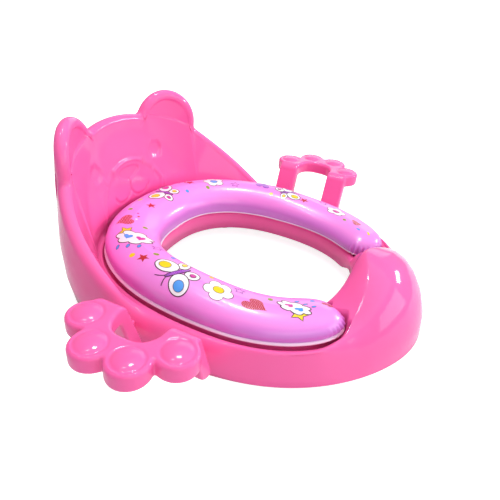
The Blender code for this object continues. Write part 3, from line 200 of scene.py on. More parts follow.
TONGUE_REACH = 0.0075        # the tongue ends this far inside the wall's outer face
TONGUE_TIP = HALF_WIDTH - TONGUE_REACH

# Cushion
SEAM_INSET_SIDE = 0.0040     # recess to weld
SEAM_INSET_REAR = 0.0030
SEAM_INSET_FRONT = 0.0050
SEAM_OVERLAP_SIDE = 0.0049   # the weld reaches over the opening's edge by this
SEAM_OVERLAP_REAR = 0.0021
SEAM_OVERLAP_FRONT = -0.0004
SEAM_SIDE = RECESS_SIDE - SEAM_INSET_SIDE
SEAM_REAR = RECESS_REAR - SEAM_INSET_REAR
SEAM_FRONT = RECESS_FRONT - SEAM_INSET_FRONT
SEAM_INNER_SIDE = OPENING_SIDE - SEAM_OVERLAP_SIDE
SEAM_INNER_REAR = OPENING_REAR - SEAM_OVERLAP_REAR
SEAM_INNER_FRONT = OPENING_FRONT - SEAM_OVERLAP_FRONT
SEAM_INNER_Y = -0.0050
SEAM_HEIGHT = 0.0315
SEAM_INSIDE_HEIGHT = 0.0306
CUSHION_TOP = 0.0545
CUSHION_GAP = 0.0045         # seam to recess wall
CUSHION_FALL = 0.0075        # the crown is this much lower at the front ends
CROWN_LEVEL = 25.0           # degrees behind the X axis where it starts to fall
CROWN_RUN = 75.0             # degrees over which it falls
CUSHION_BULGE = 0.0016       # the sides swell past the seam by this
CUSHION_END_GAP = 0.0040
CUSHION_CORNER = 0.62        # share of the half width that the end's corners take
SKIRT_HEIGHT = 0.0286        # the underside passes over the bead at this height
COVER_FOOT = 0.0196
BOARD_INSET = 0.0050         # board to recess wall
BOARD_BEAD_GAP = 0.0046      # board to bead
BOARD_EDGE_GAP = 0.0090      # board to the recess's end
SKIRT_GAP = 0.0024
SKIRT_WALL = 0.0014          # the cover stands round the board by this
SKIRT_CLEAR = 0.0017         # and the board inside the skirt by this
SKIRT_SWELL = 0.0004         # the skirt's inner side swells by this, its outer side by half

# Skin of the cushion
PUCKER_PERIOD = 0.0040
PUCKER_DEPTH = 0.0007
PUCKER_SPREAD = 0.0003       # more or less deep
PUCKER_WANDER = 1.8          # and the phase wanders by this, in radians
PUCKER_OUT = 0.42            # shares of puckers and ripples that go sideways
RIPPLE_OUT = 0.3
SKIN_UP = 0.35               # and of both that goes up and down
RIPPLE_DEPTH = 0.00028
BEND_POINTS = 6
BEND_START = 12.0            # curvature, per metre, from which the skin gathers
BEND_RUN = 40.0              # and fully so after this much more
CROWN_POWER = 2.3            # section of the crown, a superellipse
CROWN_SPACING = 1.2
FULL_CREASE = 0.12           # the puckers are deepest at this share of the way up

# Grip pads
PAD_ANGLES = (-38.0, 42.0)
BOSS_RADIUS = 0.0060
BOSS_FOOT = 0.0033
BOSS_BEVEL = 0.0004
BORE_RADIUS = 0.0031         # the pad's stem goes in here
BORE_TOP = 0.0120


def smooth(share):
    """Smooth step from 0 to 1: three times the share's square less twice its cube."""
    share = np.clip(share, 0.0, 1.0)
    return share * share * (3.0 - 2.0 * share)


def stations(position, table):
    """Curve through (position, value) stations that never overshoots them.

    It is a cubic between each two. Its slope at a station is the harmonic mean of the slopes on
    both sides, and level where they differ in sign.
    """
    place, value = np.array(table, float).T
    step = np.diff(place)
    slope = np.diff(value) / step
    pair = slope[1:] * slope[:-1]
    total = slope[1:] + slope[:-1]
    tangent = np.zeros(len(place))
    tangent[1:-1] = np.where(pair > 0, 2.0 * pair / np.where(total == 0, 1.0, total), 0.0)
    index = np.clip(np.searchsorted(place, position) - 1, 0, len(step) - 1)
    t = np.clip((position - place[index]) / step[index], 0.0, 1.0)
    rise = t * t * (3.0 - 2.0 * t)
    start = t * (1.0 - t) ** 2 * step[index] * tangent[index]
    end = t * t * (t - 1.0) * step[index] * tangent[index + 1]
    return value[index] * (1.0 - rise) + value[index + 1] * rise + start + end


def oval(middle_y, side, rear, front, powers):
    """Right half of a superellipse, as polar angles and radii about the origin.

    powers are its exponents at the side, the rear and the front; between them the exponent goes
    with the square of the sine.
    """
    turn = np.linspace(-math.pi / 2, math.pi / 2, 361)
    across = np.abs(np.cos(turn))
    along = np.sin(turn)
    reach = np.where(along > 0, rear - middle_y, front + middle_y)
    power = powers[0] + (np.where(along > 0, powers[1], powers[2]) - powers[0]) * along ** 2
    radius = ((across / side) ** power + (np.abs(along) / reach) ** power) ** (-1.0 / power)
    x = radius * across
    y = middle_y + radius * along
    return np.arctan2(y, x), np.hypot(x, y)


def on_ring(angle, ring):
    """Radius of a ring at a polar angle; the left half mirrors the right."""
    return np.interp(np.arcsin(np.sin(angle)), *ring)


def face_line(shares):
    """(x, z) places of a line that is given in muzzle radii."""
    return [(MUZZLE_RADIUS * x, MUZZLE_Z + MUZZLE_RADIUS * z) for x, z in shares]


STEM, MOUTH, NOSE = face_line(STEM_SHARES), face_line(MOUTH_SHARES), face_line(NOSE_SHARES)
OUTER = oval(WIDEST_Y, HALF_WIDTH, REAR_REACH, FRONT_REACH, (2.64, 2.18, 1.93))
OPENING = oval(0, OPENING_SIDE, OPENING_REAR, OPENING_FRONT, (2.3, 2.35, 2.5))
RECESS = oval(RECESS_MIDDLE_Y, RECESS_SIDE, RECESS_REAR, RECESS_FRONT, (2.3, 2.3, 2.3))
CREASE = oval(CREASE_MIDDLE_Y, CREASE_SIDE, CREASE_REAR, CREASE_REAR, (2.1, 2.15, 2.1))
SEAM_OUT = oval(RECESS_MIDDLE_Y, SEAM_SIDE, SEAM_REAR, SEAM_FRONT, (2.3, 2.3, 2.3))
SEAM_IN = oval(SEAM_INNER_Y, SEAM_INNER_SIDE, SEAM_INNER_REAR, SEAM_INNER_FRONT, (2.4, 2.5, 2.5))

# Shares along the polar angle, in degrees: how wide the outer slope has become, how high the
# crest stands between deck and guard top, how much of the wall its rounding takes, and how far
# round towards upright the rounding goes before it meets the foot.
RIDGE_SHARES = ((-90, 1.0), (-78, 0.74), (-72, 0.57), (-62.4, 0.32), (-55, 0.11), (-45, 0.02),
                (-34, 0.0), (-18, 0.0), (0, 0.04), (15, 0.03), (27, 0.0), (90, 0.0))
RISE_SHARES = ((-90, 1.0), (-84, 0.95), (-78, 0.83), (-72, 0.65), (-62.4, 0.29), (-55, 0.10),
               (-45, 0.02), (-30, 0.0), (90, 0.0))
ROLL_SHARES = ((-90, 0.96), (-45, 0.96), (-30, 0.94), (-15, 0.58), (0, 0.42), (15, 0.38),
               (27, 0.06), (36, 0.0), (90, 0.0))
UPRIGHT_SHARES = ((-90, 1.0), (-64, 0.9), (-54, 0.55), (-28, 0.55), (-15, 1.0), (90, 1.0))


def crest_radius(angle):
    """Radius of the rim's highest line, which becomes the splash guard's ridge.

    It is the outer wall less the rim's radius and the outer slope's run, and behind the guard
    never inside the recess or the crease.
    """
    spread = (FRONT_REACH - GUARD_RIDGE - RIM_RADIUS) * stations(np.degrees(angle), RIDGE_SHARES)
    outer = on_ring(angle, OUTER)
    line = outer - RIM_RADIUS - spread
    beside = on_ring(angle, RECESS) + CREST_FROM_RECESS
    beside = np.maximum(beside, on_ring(angle, CREASE) + CREST_FROM_DECK)
    guard = smooth((-np.degrees(angle) - GUARD_FROM) / GUARD_RUN)
    return np.maximum(line, beside) * (1.0 - guard) + line * guard


def recess_edge(angle):
    """Radius of the recess's outer edge: its oval, but always inside the crest."""
    return np.minimum(on_ring(angle, RECESS), crest_radius(angle) - CREST_FROM_RECESS)


def deck_edge(angle):
    """Radius of the deck's outer edge, where the backrest's inner face starts.

    It is the crease, but always outside the recess and inside the crest.
    """
    edge = np.maximum(recess_edge(angle) + RECESS_LIP, on_ring(angle, CREASE))
    return np.minimum(edge, crest_radius(angle) - CREST_FROM_DECK)


def toe_line(degrees):
    """Radius of the toed edge at a polar angle: the far side of four circles, valleys filled."""
    lobe = PAW_TIP - TOE_CENTRE
    total = (np.zeros(np.shape(degrees)) + PAW_VALLEY) ** TOE_FILL
    for turn in TOE_TURNS:
        away = np.radians(degrees - turn * TOE_PITCH)
        across = lobe ** 2 - (TOE_CENTRE * np.sin(away)) ** 2
        reach = TOE_CENTRE * np.cos(away) + np.sqrt(np.maximum(across, 0.0))
        total = total + np.where((across > 0) & (np.cos(away) > 0), reach, 0.0) ** TOE_FILL
    return total ** (1.0 / TOE_FILL)


def face_bulge(x, z):
    """How far a place on the backrest's face stands out towards the child.

    A smooth step down with the distance from the muzzle's middle, times one up from the crease.
    """
    away = np.hypot(x, z - MUZZLE_Z)
    up = smooth((z - DECK_TOP - CREASE_RISE) / BULGE_FOOT)
    return FACE_BULGE * smooth((BULGE_REACH - away) / (BULGE_REACH - BULGE_FLAT)) * up


class Chart:
    """The backrest's wall laid flat: distance s along the rim from its middle, and height."""

    def __init__(self):
        self.angle = np.radians(np.linspace(90, -90, 1441))
        radius = crest_radius(self.angle)
        x = radius * np.cos(self.angle)
        y = radius * np.sin(self.angle)
        self.s = np.concatenate([[0], np.cumsum(np.hypot(np.diff(x), np.diff(y)))])
        self.low_z = EAR_HEIGHT - EAR_RADIUS * math.sin(math.radians(EAR_TUCK))
        self.low_s = HEAD_HALF + EAR_FROM_NOTCH + EAR_RADIUS * math.cos(math.radians(EAR_TUCK))
        self.notch_z = HEAD_TOP - HEAD_DROP
        self.lay_path()

    def angle_at(self, s):
        """Polar angle at a distance along the rim."""
        return np.interp(s, self.s, self.angle)

    def lay_path(self):
        """The crest line from the middle of the head, round the ear and down to the guard.

        It is a parabola, an arc, a straight fall, a cubic and the guard's own rise, and a running
        mean rounds its corners.
        """
        head_s = np.linspace(0, HEAD_HALF, 20)
        head_z = HEAD_TOP - HEAD_DROP * (head_s / HEAD_HALF) ** 2
        start = math.atan2(self.notch_z - EAR_HEIGHT, -EAR_FROM_NOTCH) % (2 * math.pi)
        sweep = np.linspace(start, -math.radians(EAR_TUCK), 60)[1:]
        round_s = HEAD_HALF + EAR_FROM_NOTCH + EAR_RADIUS * np.cos(sweep)
        round_z = EAR_HEIGHT + EAR_RADIUS * np.sin(sweep)
        run = max(self.low_z - DECK_TOP - RIM_STAND_HEIGHT, RIM_RADIUS) / RIM_SLOPE
        fall = np.linspace(0, run, 30)[1:]
        fall_s = self.low_s + fall
        fall_z = self.low_z - RIM_SLOPE * fall
        t = np.linspace(0, 1, 20)[1:]
        ease = t * t * (3.0 - 2.0 * t)
        fair_s = fall_s[-1] + RIM_FAIRING * t
        start_slope = RIM_SLOPE * RIM_FAIRING * t * (1.0 - t) ** 2
        fair_z = fall_z[-1] * (1.0 - ease) + DECK_TOP * ease - start_slope
        self.arm_s = fair_s[-1]
        rest_s = np.linspace(fair_s[-1], self.s[-1], 120)[1:]
        rest_rise = stations(np.degrees(self.angle_at(rest_s)), RISE_SHARES)
        rest_z = DECK_TOP + (GUARD_TOP - DECK_TOP) * rest_rise
        s = np.concatenate([head_s, round_s, fall_s, fair_s, rest_s])
        z = np.concatenate([head_z, round_z, fall_z, fair_z, rest_z])
        length = np.concatenate([[0], np.cumsum(np.hypot(np.diff(s), np.diff(z)))])
        even = np.linspace(0, length[-1], 1201)
        s, z = np.interp(even, length, s), np.interp(even, length, z)
        window = int(round(NOTCH_ROUND / even[1]))
        kernel = np.ones(2 * window + 1) / (2 * window + 1)
        long_s = np.concatenate([-s[window:0:-1], s, 2 * s[-1] - s[-2:-window - 2:-1]])
        long_z = np.concatenate([z[window:0:-1], z, z[-2:-window - 2:-1]])
        self.u = even
        self.path_s = np.convolve(long_s, kernel, "valid")
        self.path_z = np.convolve(long_z, kernel, "valid")
        run_s, run_z = np.gradient(self.path_s), np.gradient(self.path_z)
        size = np.hypot(run_s, run_z)
        self.inward_s, self.inward_z = run_z / size, -run_s / size
        near = np.hypot(self.path_s - HEAD_HALF, self.path_z - self.notch_z)
        far = np.hypot(self.path_s - self.low_s, self.path_z - self.low_z)
        self.u_in, self.u_out = even[np.argmin(near)], even[np.argmin(far)]
        self.u_arm = np.interp(self.arm_s, self.path_s[even > self.u_out], even[even > self.u_out])
        self.u_end = np.interp(math.radians(GUARD_ANGLE), -self.angle_at(self.path_s), even)

    def head_line(self, s):
        """Height of the head's own outline, which runs on in front of the ear."""
        near = HEAD_TOP - HEAD_DROP * (s / HEAD_HALF) ** 2
        t = np.clip((s - HEAD_HALF) / (self.low_s - HEAD_HALF), 0.0, 1.0)
        far = self.notch_z + (self.low_z - self.notch_z) * t + 4.0 * t * (1.0 - t) * HEAD_DROP
        return np.where(s < HEAD_HALF, near, far)


def shell_columns(chart, spacing, end_shares):
    """Positions along the crest line: closer in front of the face, at the ear and at the guard.

    One column stands at each whole value of the length over the local spacing, summed up.
    """
    u = chart.u
    step = np.full(len(u), spacing)
    step = np.where(u < FACE_REACH, FACE_PITCH, step)
    step = np.where((u > chart.u_in) & (u < chart.u_out), spacing * EAR_SPACING, step)
    for corner in (chart.u_in, chart.u_out):
        near = np.abs(u - corner) < NOTCH_REACH
        step = np.where(near, spacing * NOTCH_SPACING, step)
    step = np.where(u > chart.u_arm, spacing * ARM_SPACING, step)
    near = np.abs(u - chart.u_end) < CORNER_REACH
    step = np.where(near, spacing * END_SPACING, step)
    count = np.concatenate([[0], np.cumsum(np.diff(u) / step[1:])])
    column = np.interp(np.linspace(0, count[-1], int(round(count[-1])) + 1), count, u)
    column = column[np.abs(column - chart.u_end) > END_WALL + spacing * 0.25]
    reach = np.array(end_shares) * END_WALL
    return np.sort(np.concatenate([column, chart.u_end + reach]))


def shell_half(spacing, end_shares, bead, floor, fillet, face, roll, foot):
    """Corner points of the shell's right half; its rows run from the flange to the foot.

    bead, floor, face and foot are shares across those zones, fillet and roll angles in degrees.
    """
    chart = Chart()
    column = shell_columns(chart, spacing, end_shares)
    lines = (chart.path_s, chart.path_z, chart.inward_s, chart.inward_z)
    path_s, path_z, in_s, in_z = [np.interp(column, chart.u, line) for line in lines]
    ear = (column > chart.u_in) & (column < chart.u_out)
    ear_share = (column - chart.u_in) / (chart.u_out - chart.u_in)
    deck_s = np.where(ear, HEAD_HALF + ear_share * (chart.low_s - HEAD_HALF), path_s)
    deck = chart.angle_at(deck_s)
    crest_angle = chart.angle_at(path_s)
    flat = 0.0 * deck
    backed = 1.0 - smooth((column - chart.u_arm + RIM_FAIRING) / RIM_FAIRING)
    end_angle = -math.radians(GUARD_ANGLE)
    reach_back, reach_front = math.radians(24), math.radians(16)
    near_end = np.where(deck > end_angle, (deck - end_angle) / reach_back,
                        (end_angle - deck) / reach_front)
    hold = 1.0 - smooth(near_end)

    def shifted(inside_by):
        """Polar angles of a row this far inside the recess's edge, round the corner at its end."""
        depth = min(max(RECESS_CORNER - inside_by, 0.0), RECESS_CORNER)
        length = RECESS_CORNER - math.sqrt(RECESS_CORNER ** 2 - (CORNER_SHARE * depth) ** 2)
        return deck + hold * length / recess_edge(deck)

    rows = []

    def add(angle, radius, height):
        """One more row, given by numbers or by a value for each column."""
        rows.append((angle, radius + flat, height + flat))

    crest_front = path_z[column > chart.u_out]
    angle_front = -crest_angle[column > chart.u_out]

    def crest_at(angle):
        """Height of the crest at a polar angle, forward of the ears."""
        return np.interp(-angle, angle_front, crest_front)

    moved = shifted(0.0) - deck
    crest_angle = crest_angle + moved
    path_z = np.where(moved > 0, crest_at(crest_angle), path_z)
    path_s = np.where(moved > 0, np.interp(-crest_angle, -chart.angle, chart.s), path_s)

    opening = on_ring(deck, OPENING)
    risen = smooth((-np.degrees(deck) - FLANGE_RISE_FROM) / FLANGE_RISE_RUN)
    add(deck, opening, FLANGE_LOW + (FLANGE_LOW_FRONT - FLANGE_LOW) * risen)
    for share in bead:
        drop = BEAD_WIDTH * 0.4 * (1.0 - math.sqrt(max(1.0 - (2.0 * share - 1.0) ** 2, 0.0)))
        add(deck, opening + BEAD_WIDTH * share, BEAD_TOP - drop)
    lip = RECESS_LIP
    run_in, run_out, rounding = lip * 0.6, lip * 1.2, lip * 0.8
    for degree in fillet:
        theta = math.radians(degree)
        add(deck, opening + BEAD_WIDTH + lip * (0.1 + 0.5 * math.sin(theta)),
            RECESS_FLOOR + run_in * (1.0 - math.sin(theta)))
    foot_in = opening + BEAD_WIDTH + run_in
    foot_out = recess_edge(deck) - run_out
    for share in floor:
        gap = float(np.min(foot_out - foot_in)) * (1.0 - share)
        angle = shifted(gap + run_out)
        inner = on_ring(angle, OPENING) + BEAD_WIDTH + run_in
        outer = recess_edge(angle) - run_out
        add(angle, inner + (outer - inner) * share, RECESS_FLOOR)
    for degree in (0,) + fillet:
        theta = math.radians(degree)
        inside = lip * (1.2 - 1.1 * math.sin(theta))
        angle = shifted(inside)
        add(angle, recess_edge(angle) - inside,
            RECESS_FLOOR + rounding * (1.0 - math.cos(theta)))
    for degree in (0,) + fillet:
        theta = math.radians(degree)
        inside = -rounding * (1.0 - math.cos(theta))
        angle = shifted(0.0)
        add(angle, recess_edge(angle) - inside, DECK_TOP - rounding * (1.0 - math.sin(theta)))
    angle = shifted(0.0)
    risen = smooth((np.degrees(angle) - CREASE_RISE_FROM) / CREASE_RISE_RUN)
    foot_z = DECK_TOP + CREASE_RISE * risen
    add(angle, deck_edge(angle), foot_z)
    foot_s = np.interp(-angle, -chart.angle, chart.s)

    # Inner face and inner half of the rim. At an ear the face steps back above the head line.
    rim = RIM_RADIUS * smooth((path_z - DECK_TOP) / (2.2 * RIM_RADIUS))
    turn_s, turn_z = path_s + in_s * rim, path_z + in_z * rim
    span = np.maximum(np.hypot(turn_s - foot_s, turn_z - foot_z), RIM_RADIUS)
    margin = RIM_RADIUS + 0.5 * lip
    level_run = chart.low_s - HEAD_HALF - 2.0 * margin
    level_s = HEAD_HALF + margin + np.clip(ear_share, 0, 1) * level_run
    level_z = chart.head_line(level_s)
    back = np.minimum((EAR_RIM - RIM_RADIUS + lip) / span, 0.5)
    level_s = np.where(ear, level_s, turn_s + (foot_s - turn_s) * back)
    level_z = np.where(ear, level_z, turn_z + (foot_z - turn_z) * back)
    rise = np.maximum(np.hypot(turn_s - level_s, turn_z - level_z), lip / 10)
    half = np.minimum(0.45 * lip, 0.15 * rise) / rise
    top = np.minimum(EAR_RIM - RIM_RADIUS, 0.5 * rise) / rise
    low_half = half * rise / np.maximum(np.hypot(level_s - foot_s, level_z - foot_z), lip)
    sunk = np.where(ear, smooth((rise - lip) / (1.6 * lip)), 0.0)
    sunk = sunk * (1.0 - 0.7 * smooth((ear_share - 0.45) / 0.35))
    outside = np.maximum(chart.u_in - column, column - chart.u_out)
    bunched = 1.0 - smooth(outside / (2.0 * EAR_RIM))
    shares = (0.0, 0.4, 0.5, 0.8, 0.9, 1.0)

    def knot(order):
        """Chart position of the column at one of the shares."""
        if order == 0:
            return foot_s, foot_z
        if order == 5:
            return turn_s, turn_z
        if order == 1:
            s = level_s + (foot_s - level_s) * low_half
            z = level_z + (foot_z - level_z) * low_half
        else:
            part = (None, None, half, 1.0 - top - half, 1.0 - top + half)[order]
            s = level_s + (turn_s - level_s) * part
            z = level_z + (turn_z - level_z) * part
        plain_s = foot_s + (turn_s - foot_s) * shares[order]
        plain_z = foot_z + (turn_z - foot_z) * shares[order]
        return plain_s + (s - plain_s) * bunched, plain_z + (z - plain_z) * bunched

    total = len(face) + len(roll)

    def plain_row(order):
        """Row of the low rim without a backrest: it swells from the deck's edge to the crest."""
        share = order / total
        angle = rows[foot_row][0] * (1.0 - share) + crest_angle * share
        radius = deck_edge(angle) + (crest_radius(angle) - deck_edge(angle)) * share
        swell = math.sqrt(1.0 - (1.0 - share) ** 2)
        return angle, radius, DECK_TOP + (crest_at(angle) - DECK_TOP) * swell

    def mixed(order, angle, radius, height):
        """Adds a row of the backrest, which gives way to the low rim's row along the arms."""
        other = plain_row(order)
        add(other[0] + (angle - other[0]) * backed, other[1] + (radius - other[1]) * backed,
            other[2] + (height - other[2]) * backed)

    foot_row = len(rows) - 1
    for order, value in enumerate(face):
        index = int(np.searchsorted(shares, value, "right")) - 1
        part = (value - shares[index]) / (shares[index + 1] - shares[index])
        (start_s, start_z), (end_s, end_z) = knot(index), knot(index + 1)
        s = start_s + (end_s - start_s) * part
        z = start_z + (end_z - start_z) * part
        depth = EAR_RECESS * (0.0, smooth(part), 1.0, 1.0 - smooth(part), 0.0)[index] * sunk
        angle = chart.angle_at(s)
        full_z = np.where(ear, level_z, turn_z)
        up = np.clip((z - foot_z) / np.maximum(full_z - foot_z, lip / 10), 0.0, 1.0)
        up = np.where(turn_z - foot_z < lip, value, up)
        inner, outer = deck_edge(angle), crest_radius(angle) - rim
        radius = inner + (outer - inner) * up
        mixed(order + 1, angle, radius + depth - face_bulge(radius * np.cos(angle), z), z)
    for order, degree in enumerate(roll):
        theta = math.radians(degree)
        s = path_s + in_s * rim * (1.0 - math.cos(theta))
        z = path_z + in_z * rim * (1.0 - math.cos(theta))
        angle = chart.angle_at(s)
        mixed(len(face) + order + 1, angle, crest_radius(angle) - rim * math.sin(theta), z)

    # The splash guard is one rounded face from the opening to the ridge. Its rows keep the
    # shares that the recess's rows have where the recess ends.
    guard = smooth((column - chart.u_end) / (2.0 * END_WALL) + 0.5)
    at_end = int(np.argmin(np.abs(column - chart.u_end)))
    first = bead[1]
    for order in range(1, len(rows)):
        angle, radius, height = rows[order]
        inner, outer = on_ring(angle, OPENING), crest_radius(angle)
        mark = (radius[at_end] - inner[at_end]) / (outer[at_end] - inner[at_end])
        even = inner + (outer - inner) * mark
        radius = np.where(column > chart.u_end, even, radius)
        start = inner + BEAD_WIDTH * first
        across = np.clip((outer - radius) / (outer - start), 0.0, 1.0)
        arc = GUARD_FOOT + (crest_at(angle) - GUARD_FOOT) * np.sqrt(1.0 - across ** 2)
        arc = np.where(radius < start, np.minimum(height, GUARD_FOOT), arc)
        rows[order] = (angle, radius, height + (arc - height) * guard)

    # Outer half of the rim and the outer wall.
    rolled = stations(np.degrees(crest_angle), ROLL_SHARES)
    tall = RIM_RADIUS + (path_z - RIM_RADIUS - EDGE_LIFT) * rolled
    upright = stations(np.degrees(crest_angle), UPRIGHT_SHARES)
    upright = math.pi / 2 * (upright + (1.0 - upright) * backed)
    for degree in roll[-2::-1]:
        theta = upright * degree / roll[0]
        down = tall * (1.0 - np.cos(theta)) / (1.0 - np.cos(upright))
        s = path_s + in_s * down * backed
        z = path_z + (in_z * backed - (1.0 - backed)) * down
        angle = chart.angle_at(s)
        inner = crest_radius(angle)
        reach = np.sin(theta) / np.sin(upright)
        add(angle, inner + (on_ring(angle, OUTER) - inner) * reach, z)
    last_s, last_z = s, z
    base_s = np.where(ear, deck_s, path_s)
    for share in foot:
        angle = chart.angle_at(last_s + (base_s - last_s) * share)
        degrees = np.degrees(angle)
        beside = smooth((degrees - SWELL_FROM) / SWELL_RUN)
        beside = beside * smooth((SWELL_TO - degrees) / SWELL_RUN)
        lean = WALL_DRAFT * smooth(degrees / DRAFT_RUN) * share
        lean = lean - 4.0 * WALL_SWELL * beside * share * (1.0 - share)
        add(angle, on_ring(angle, OUTER) - lean, last_z + (EDGE_LIFT - last_z) * share)
    grid = np.array(rows)
    x = grid[:, 1] * np.cos(grid[:, 0])
    x[:, 0] = 0.0
    x[:, -1] = 0.0
    return np.stack([x, grid[:, 1] * np.sin(grid[:, 0]), grid[:, 2]], axis=-1)


def closed_ring(half):
    """Mirror a half grid at X = 0 and join the two into rows that close on themselves."""
    other = half[:, -2:0:-1] * np.array([-1.0, 1.0, 1.0])
    return np.concatenate([half, other], axis=1)


def hex_colour(code):
    """Linear colour of an sRGB hex value, by the sRGB curve: a line, then the power 2.4."""
    value = np.array([int(code[place:place + 2], 16) / 255.0 for place in (0, 2, 4)])
    linear = np.where(value <= 0.04045, value / 12.92, ((value + 0.055) / 1.055) ** 2.4)
    return (*[float(part) for part in linear], 1.0)


def node(mat, kind, inputs=(), **settings):
    """Adds a node; inputs maps a socket's name or number to a value or to another node's output."""
    made = mat.node_tree.nodes.new(kind)
    for name, value in settings.items():
        setattr(made, name, value)
    for socket, value in dict(inputs).items():
        if isinstance(value, bpy.types.NodeSocket):
            mat.node_tree.links.new(value, made.inputs[socket])
        else:
            made.inputs[socket].default_value = value
    return made


def finish(name, colour, **sockets):
    """A material with its Principled shader's plain sockets set."""
    mat = bpy.data.materials.new(name)
    mat.use_nodes = True
    shader = mat.node_tree.nodes["Principled BSDF"]
    shader.inputs["Base Color"].default_value = hex_colour(colour)
    for socket, value in sockets.items():
        shader.inputs[socket.replace("_", " ")].default_value = value
    return mat, shader


def grid_object(name, points, faces, mat, body, smooth_angle=None):
    """Mesh object from a point array and a face array; its place is in its mesh."""
    mesh = bpy.data.meshes.new(name)
    points = np.asarray(points, np.float64).reshape(-1, 3)
    mesh.from_pydata(points.tolist(), [], [list(face) for face in faces])
    mesh.validate()
    mesh.shade_smooth()
    if smooth_angle:
        mesh.set_sharp_from_angle(angle=math.radians(smooth_angle))
    obj = bpy.data.objects.new(name, mesh)
    bpy.context.scene.collection.objects.link(obj)
    if mat:
        mesh.materials.append(mat)
    if body:
        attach(obj, body)
    return obj


def loop_faces(rows, columns, closed_rows=False):
    """Quads of a grid whose rows close on themselves; closed_rows joins last row and first."""
    last = rows if closed_rows else rows - 1
    row, place = np.meshgrid(np.arange(last), np.arange(columns), indexing="ij")
    after, below = (place + 1) % columns, (row + 1) % rows
    corners = (row * columns + place, row * columns + after,
               below * columns + after, below * columns + place)
    return np.stack(corners, axis=-1).reshape(-1, 4)


def smooth_path(path, cyclic, parts=8):
    """Catmull-Rom curve through (x, z) points."""
    path = np.array(path, float)
    if cyclic:
        path = np.concatenate([path[-1:], path, path[:2]])
    else:
        path = np.concatenate([2 * path[:1] - path[1:2], path, 2 * path[-1:] - path[-2:-1]])
    before, start, end, after = path[:-3], path[1:-2], path[2:-1], path[3:]
    t = np.linspace(0, 1, parts, endpoint=False)[:, None, None]
    curve = 0.5 * (2 * start + (end - before) * t
                   + (2 * before - 5 * start + 4 * end - after) * t ** 2
                   + (3 * start - before - 3 * end + after) * t ** 3)
    curve = curve.transpose(1, 0, 2).reshape(-1, 2)
    return np.concatenate([curve, path[-2:-1]])


def path_distance(x, z, path):
    """Distance of each point to a polyline: the least of those to its straight pieces."""
    best = np.full(x.shape, np.inf)
    for (x0, z0), (x1, z1) in zip(path[:-1], path[1:]):
        run = (x1 - x0) ** 2 + (z1 - z0) ** 2 + 1e-12
        t = np.clip(((x - x0) * (x1 - x0) + (z - z0) * (z1 - z0)) / run, 0, 1)
        best = np.minimum(best, np.hypot(x - x0 - t * (x1 - x0), z - z0 - t * (z1 - z0)))
    return best


def outline_distance(u, v, outline):
    """Signed distance in a plane to a closed outline.

    It is negative inside, where a ray crosses the outline an odd number of times.
    """
    closed = np.concatenate([outline, outline[:1]])
    away = path_distance(u, v, closed)
    inside = np.zeros(u.shape, bool)
    for (u0, v0), (u1, v1) in zip(closed[:-1], closed[1:]):
        if v0 == v1:
            continue
        crosses = (v0 > v) != (v1 > v)
        inside ^= crosses & (u < (u1 - u0) * (v - v0) / (v1 - v0) + u0)
    return np.where(inside, -away, away)


def mirror_path(path):
    """Path from the far end of its mirror image to its own far end."""
    return [(-x, z) for x, z in path[::-1]] + list(path)


def face_relief(x, z):
    """Height of the face's relief: a rib rounds the muzzle, eyes, nose and mouth are sunk."""
    ring = np.where(z > MUZZLE_LOW, np.abs(MUZZLE_RADIUS - np.hypot(x, z - MUZZLE_Z)), 1.0)
    height = RIB_HEIGHT * RIB_RADIUS * smooth(1.0 - ring / (RIB_REACH * RIB_RADIUS))
    eye = EYE_RADIUS - np.hypot(np.abs(x) - EYE_X, z - EYE_Z)
    nose = -outline_distance(x, z, smooth_path(mirror_path(NOSE), True)[:-1])
    height = height - EYE_DEPTH * smooth(np.maximum(eye, nose) / EYE_EDGE + 0.5)
    mouth = path_distance(x, z, smooth_path(mirror_path(MOUTH), False))
    stem = path_distance(x, z, STEM)
    away = np.minimum(mouth, stem) / (LINE_REACH * LINE_RADIUS)
    return height - LINE_DEPTH * smooth(1.0 - away)


# Shell: polypropylene, injection moulded in a polished tool. It gives broad soft reflections,
# slight sink and ripple over the wall, and a faint orange peel.
def moulded_pink(name, colour, dark):
    """The tone wanders between colour and dark."""
    mat, shader = finish(name, colour, Roughness=0.11, IOR=1.49, Specular_IOR_Level=0.3,
                         Subsurface_Weight=0.06, Subsurface_Scale=0.002)
    shader.inputs["Subsurface Radius"].default_value = (1.0, 0.35, 0.5)
    place = node(mat, "ShaderNodeTexCoord").outputs["Object"]
    # Slow change of tone over about 60 mm, as the wall's thickness and the pigment vary
    cloud = node(mat, "ShaderNodeTexNoise", {"Vector": place, "Scale": 16.0, "Detail": 2.0})
    tone = node(mat, "ShaderNodeMix", {"Factor": cloud.outputs["Fac"], "A": hex_colour(dark),
                                       "B": hex_colour(colour)}, data_type="RGBA")
    mat.node_tree.links.new(tone.outputs["Result"], shader.inputs["Base Color"])
    # Sink over 25 mm and orange peel of 2 mm
    sink = node(mat, "ShaderNodeTexNoise", {"Vector": place, "Scale": 40.0, "Detail": 1.0})
    peel = node(mat, "ShaderNodeTexNoise", {"Vector": place, "Scale": 500.0, "Detail": 1.0})
    low = node(mat, "ShaderNodeBump", {"Height": sink.outputs["Fac"], "Strength": 0.12,
                                       "Distance": 0.0012})
    fine = node(mat, "ShaderNodeBump", {"Height": peel.outputs["Fac"], "Strength": 0.06,
                                        "Distance": 0.0001, "Normal": low.outputs["Normal"]})
    mat.node_tree.links.new(fine.outputs["Normal"], shader.inputs["Normal"])
    gloss = node(mat, "ShaderNodeMapRange", {"Value": cloud.outputs["Fac"], "From Min": 0.3,
                                             "From Max": 0.7, "To Min": 0.08, "To Max": 0.13})
    mat.node_tree.links.new(gloss.outputs["Result"], shader.inputs["Roughness"])
    return mat


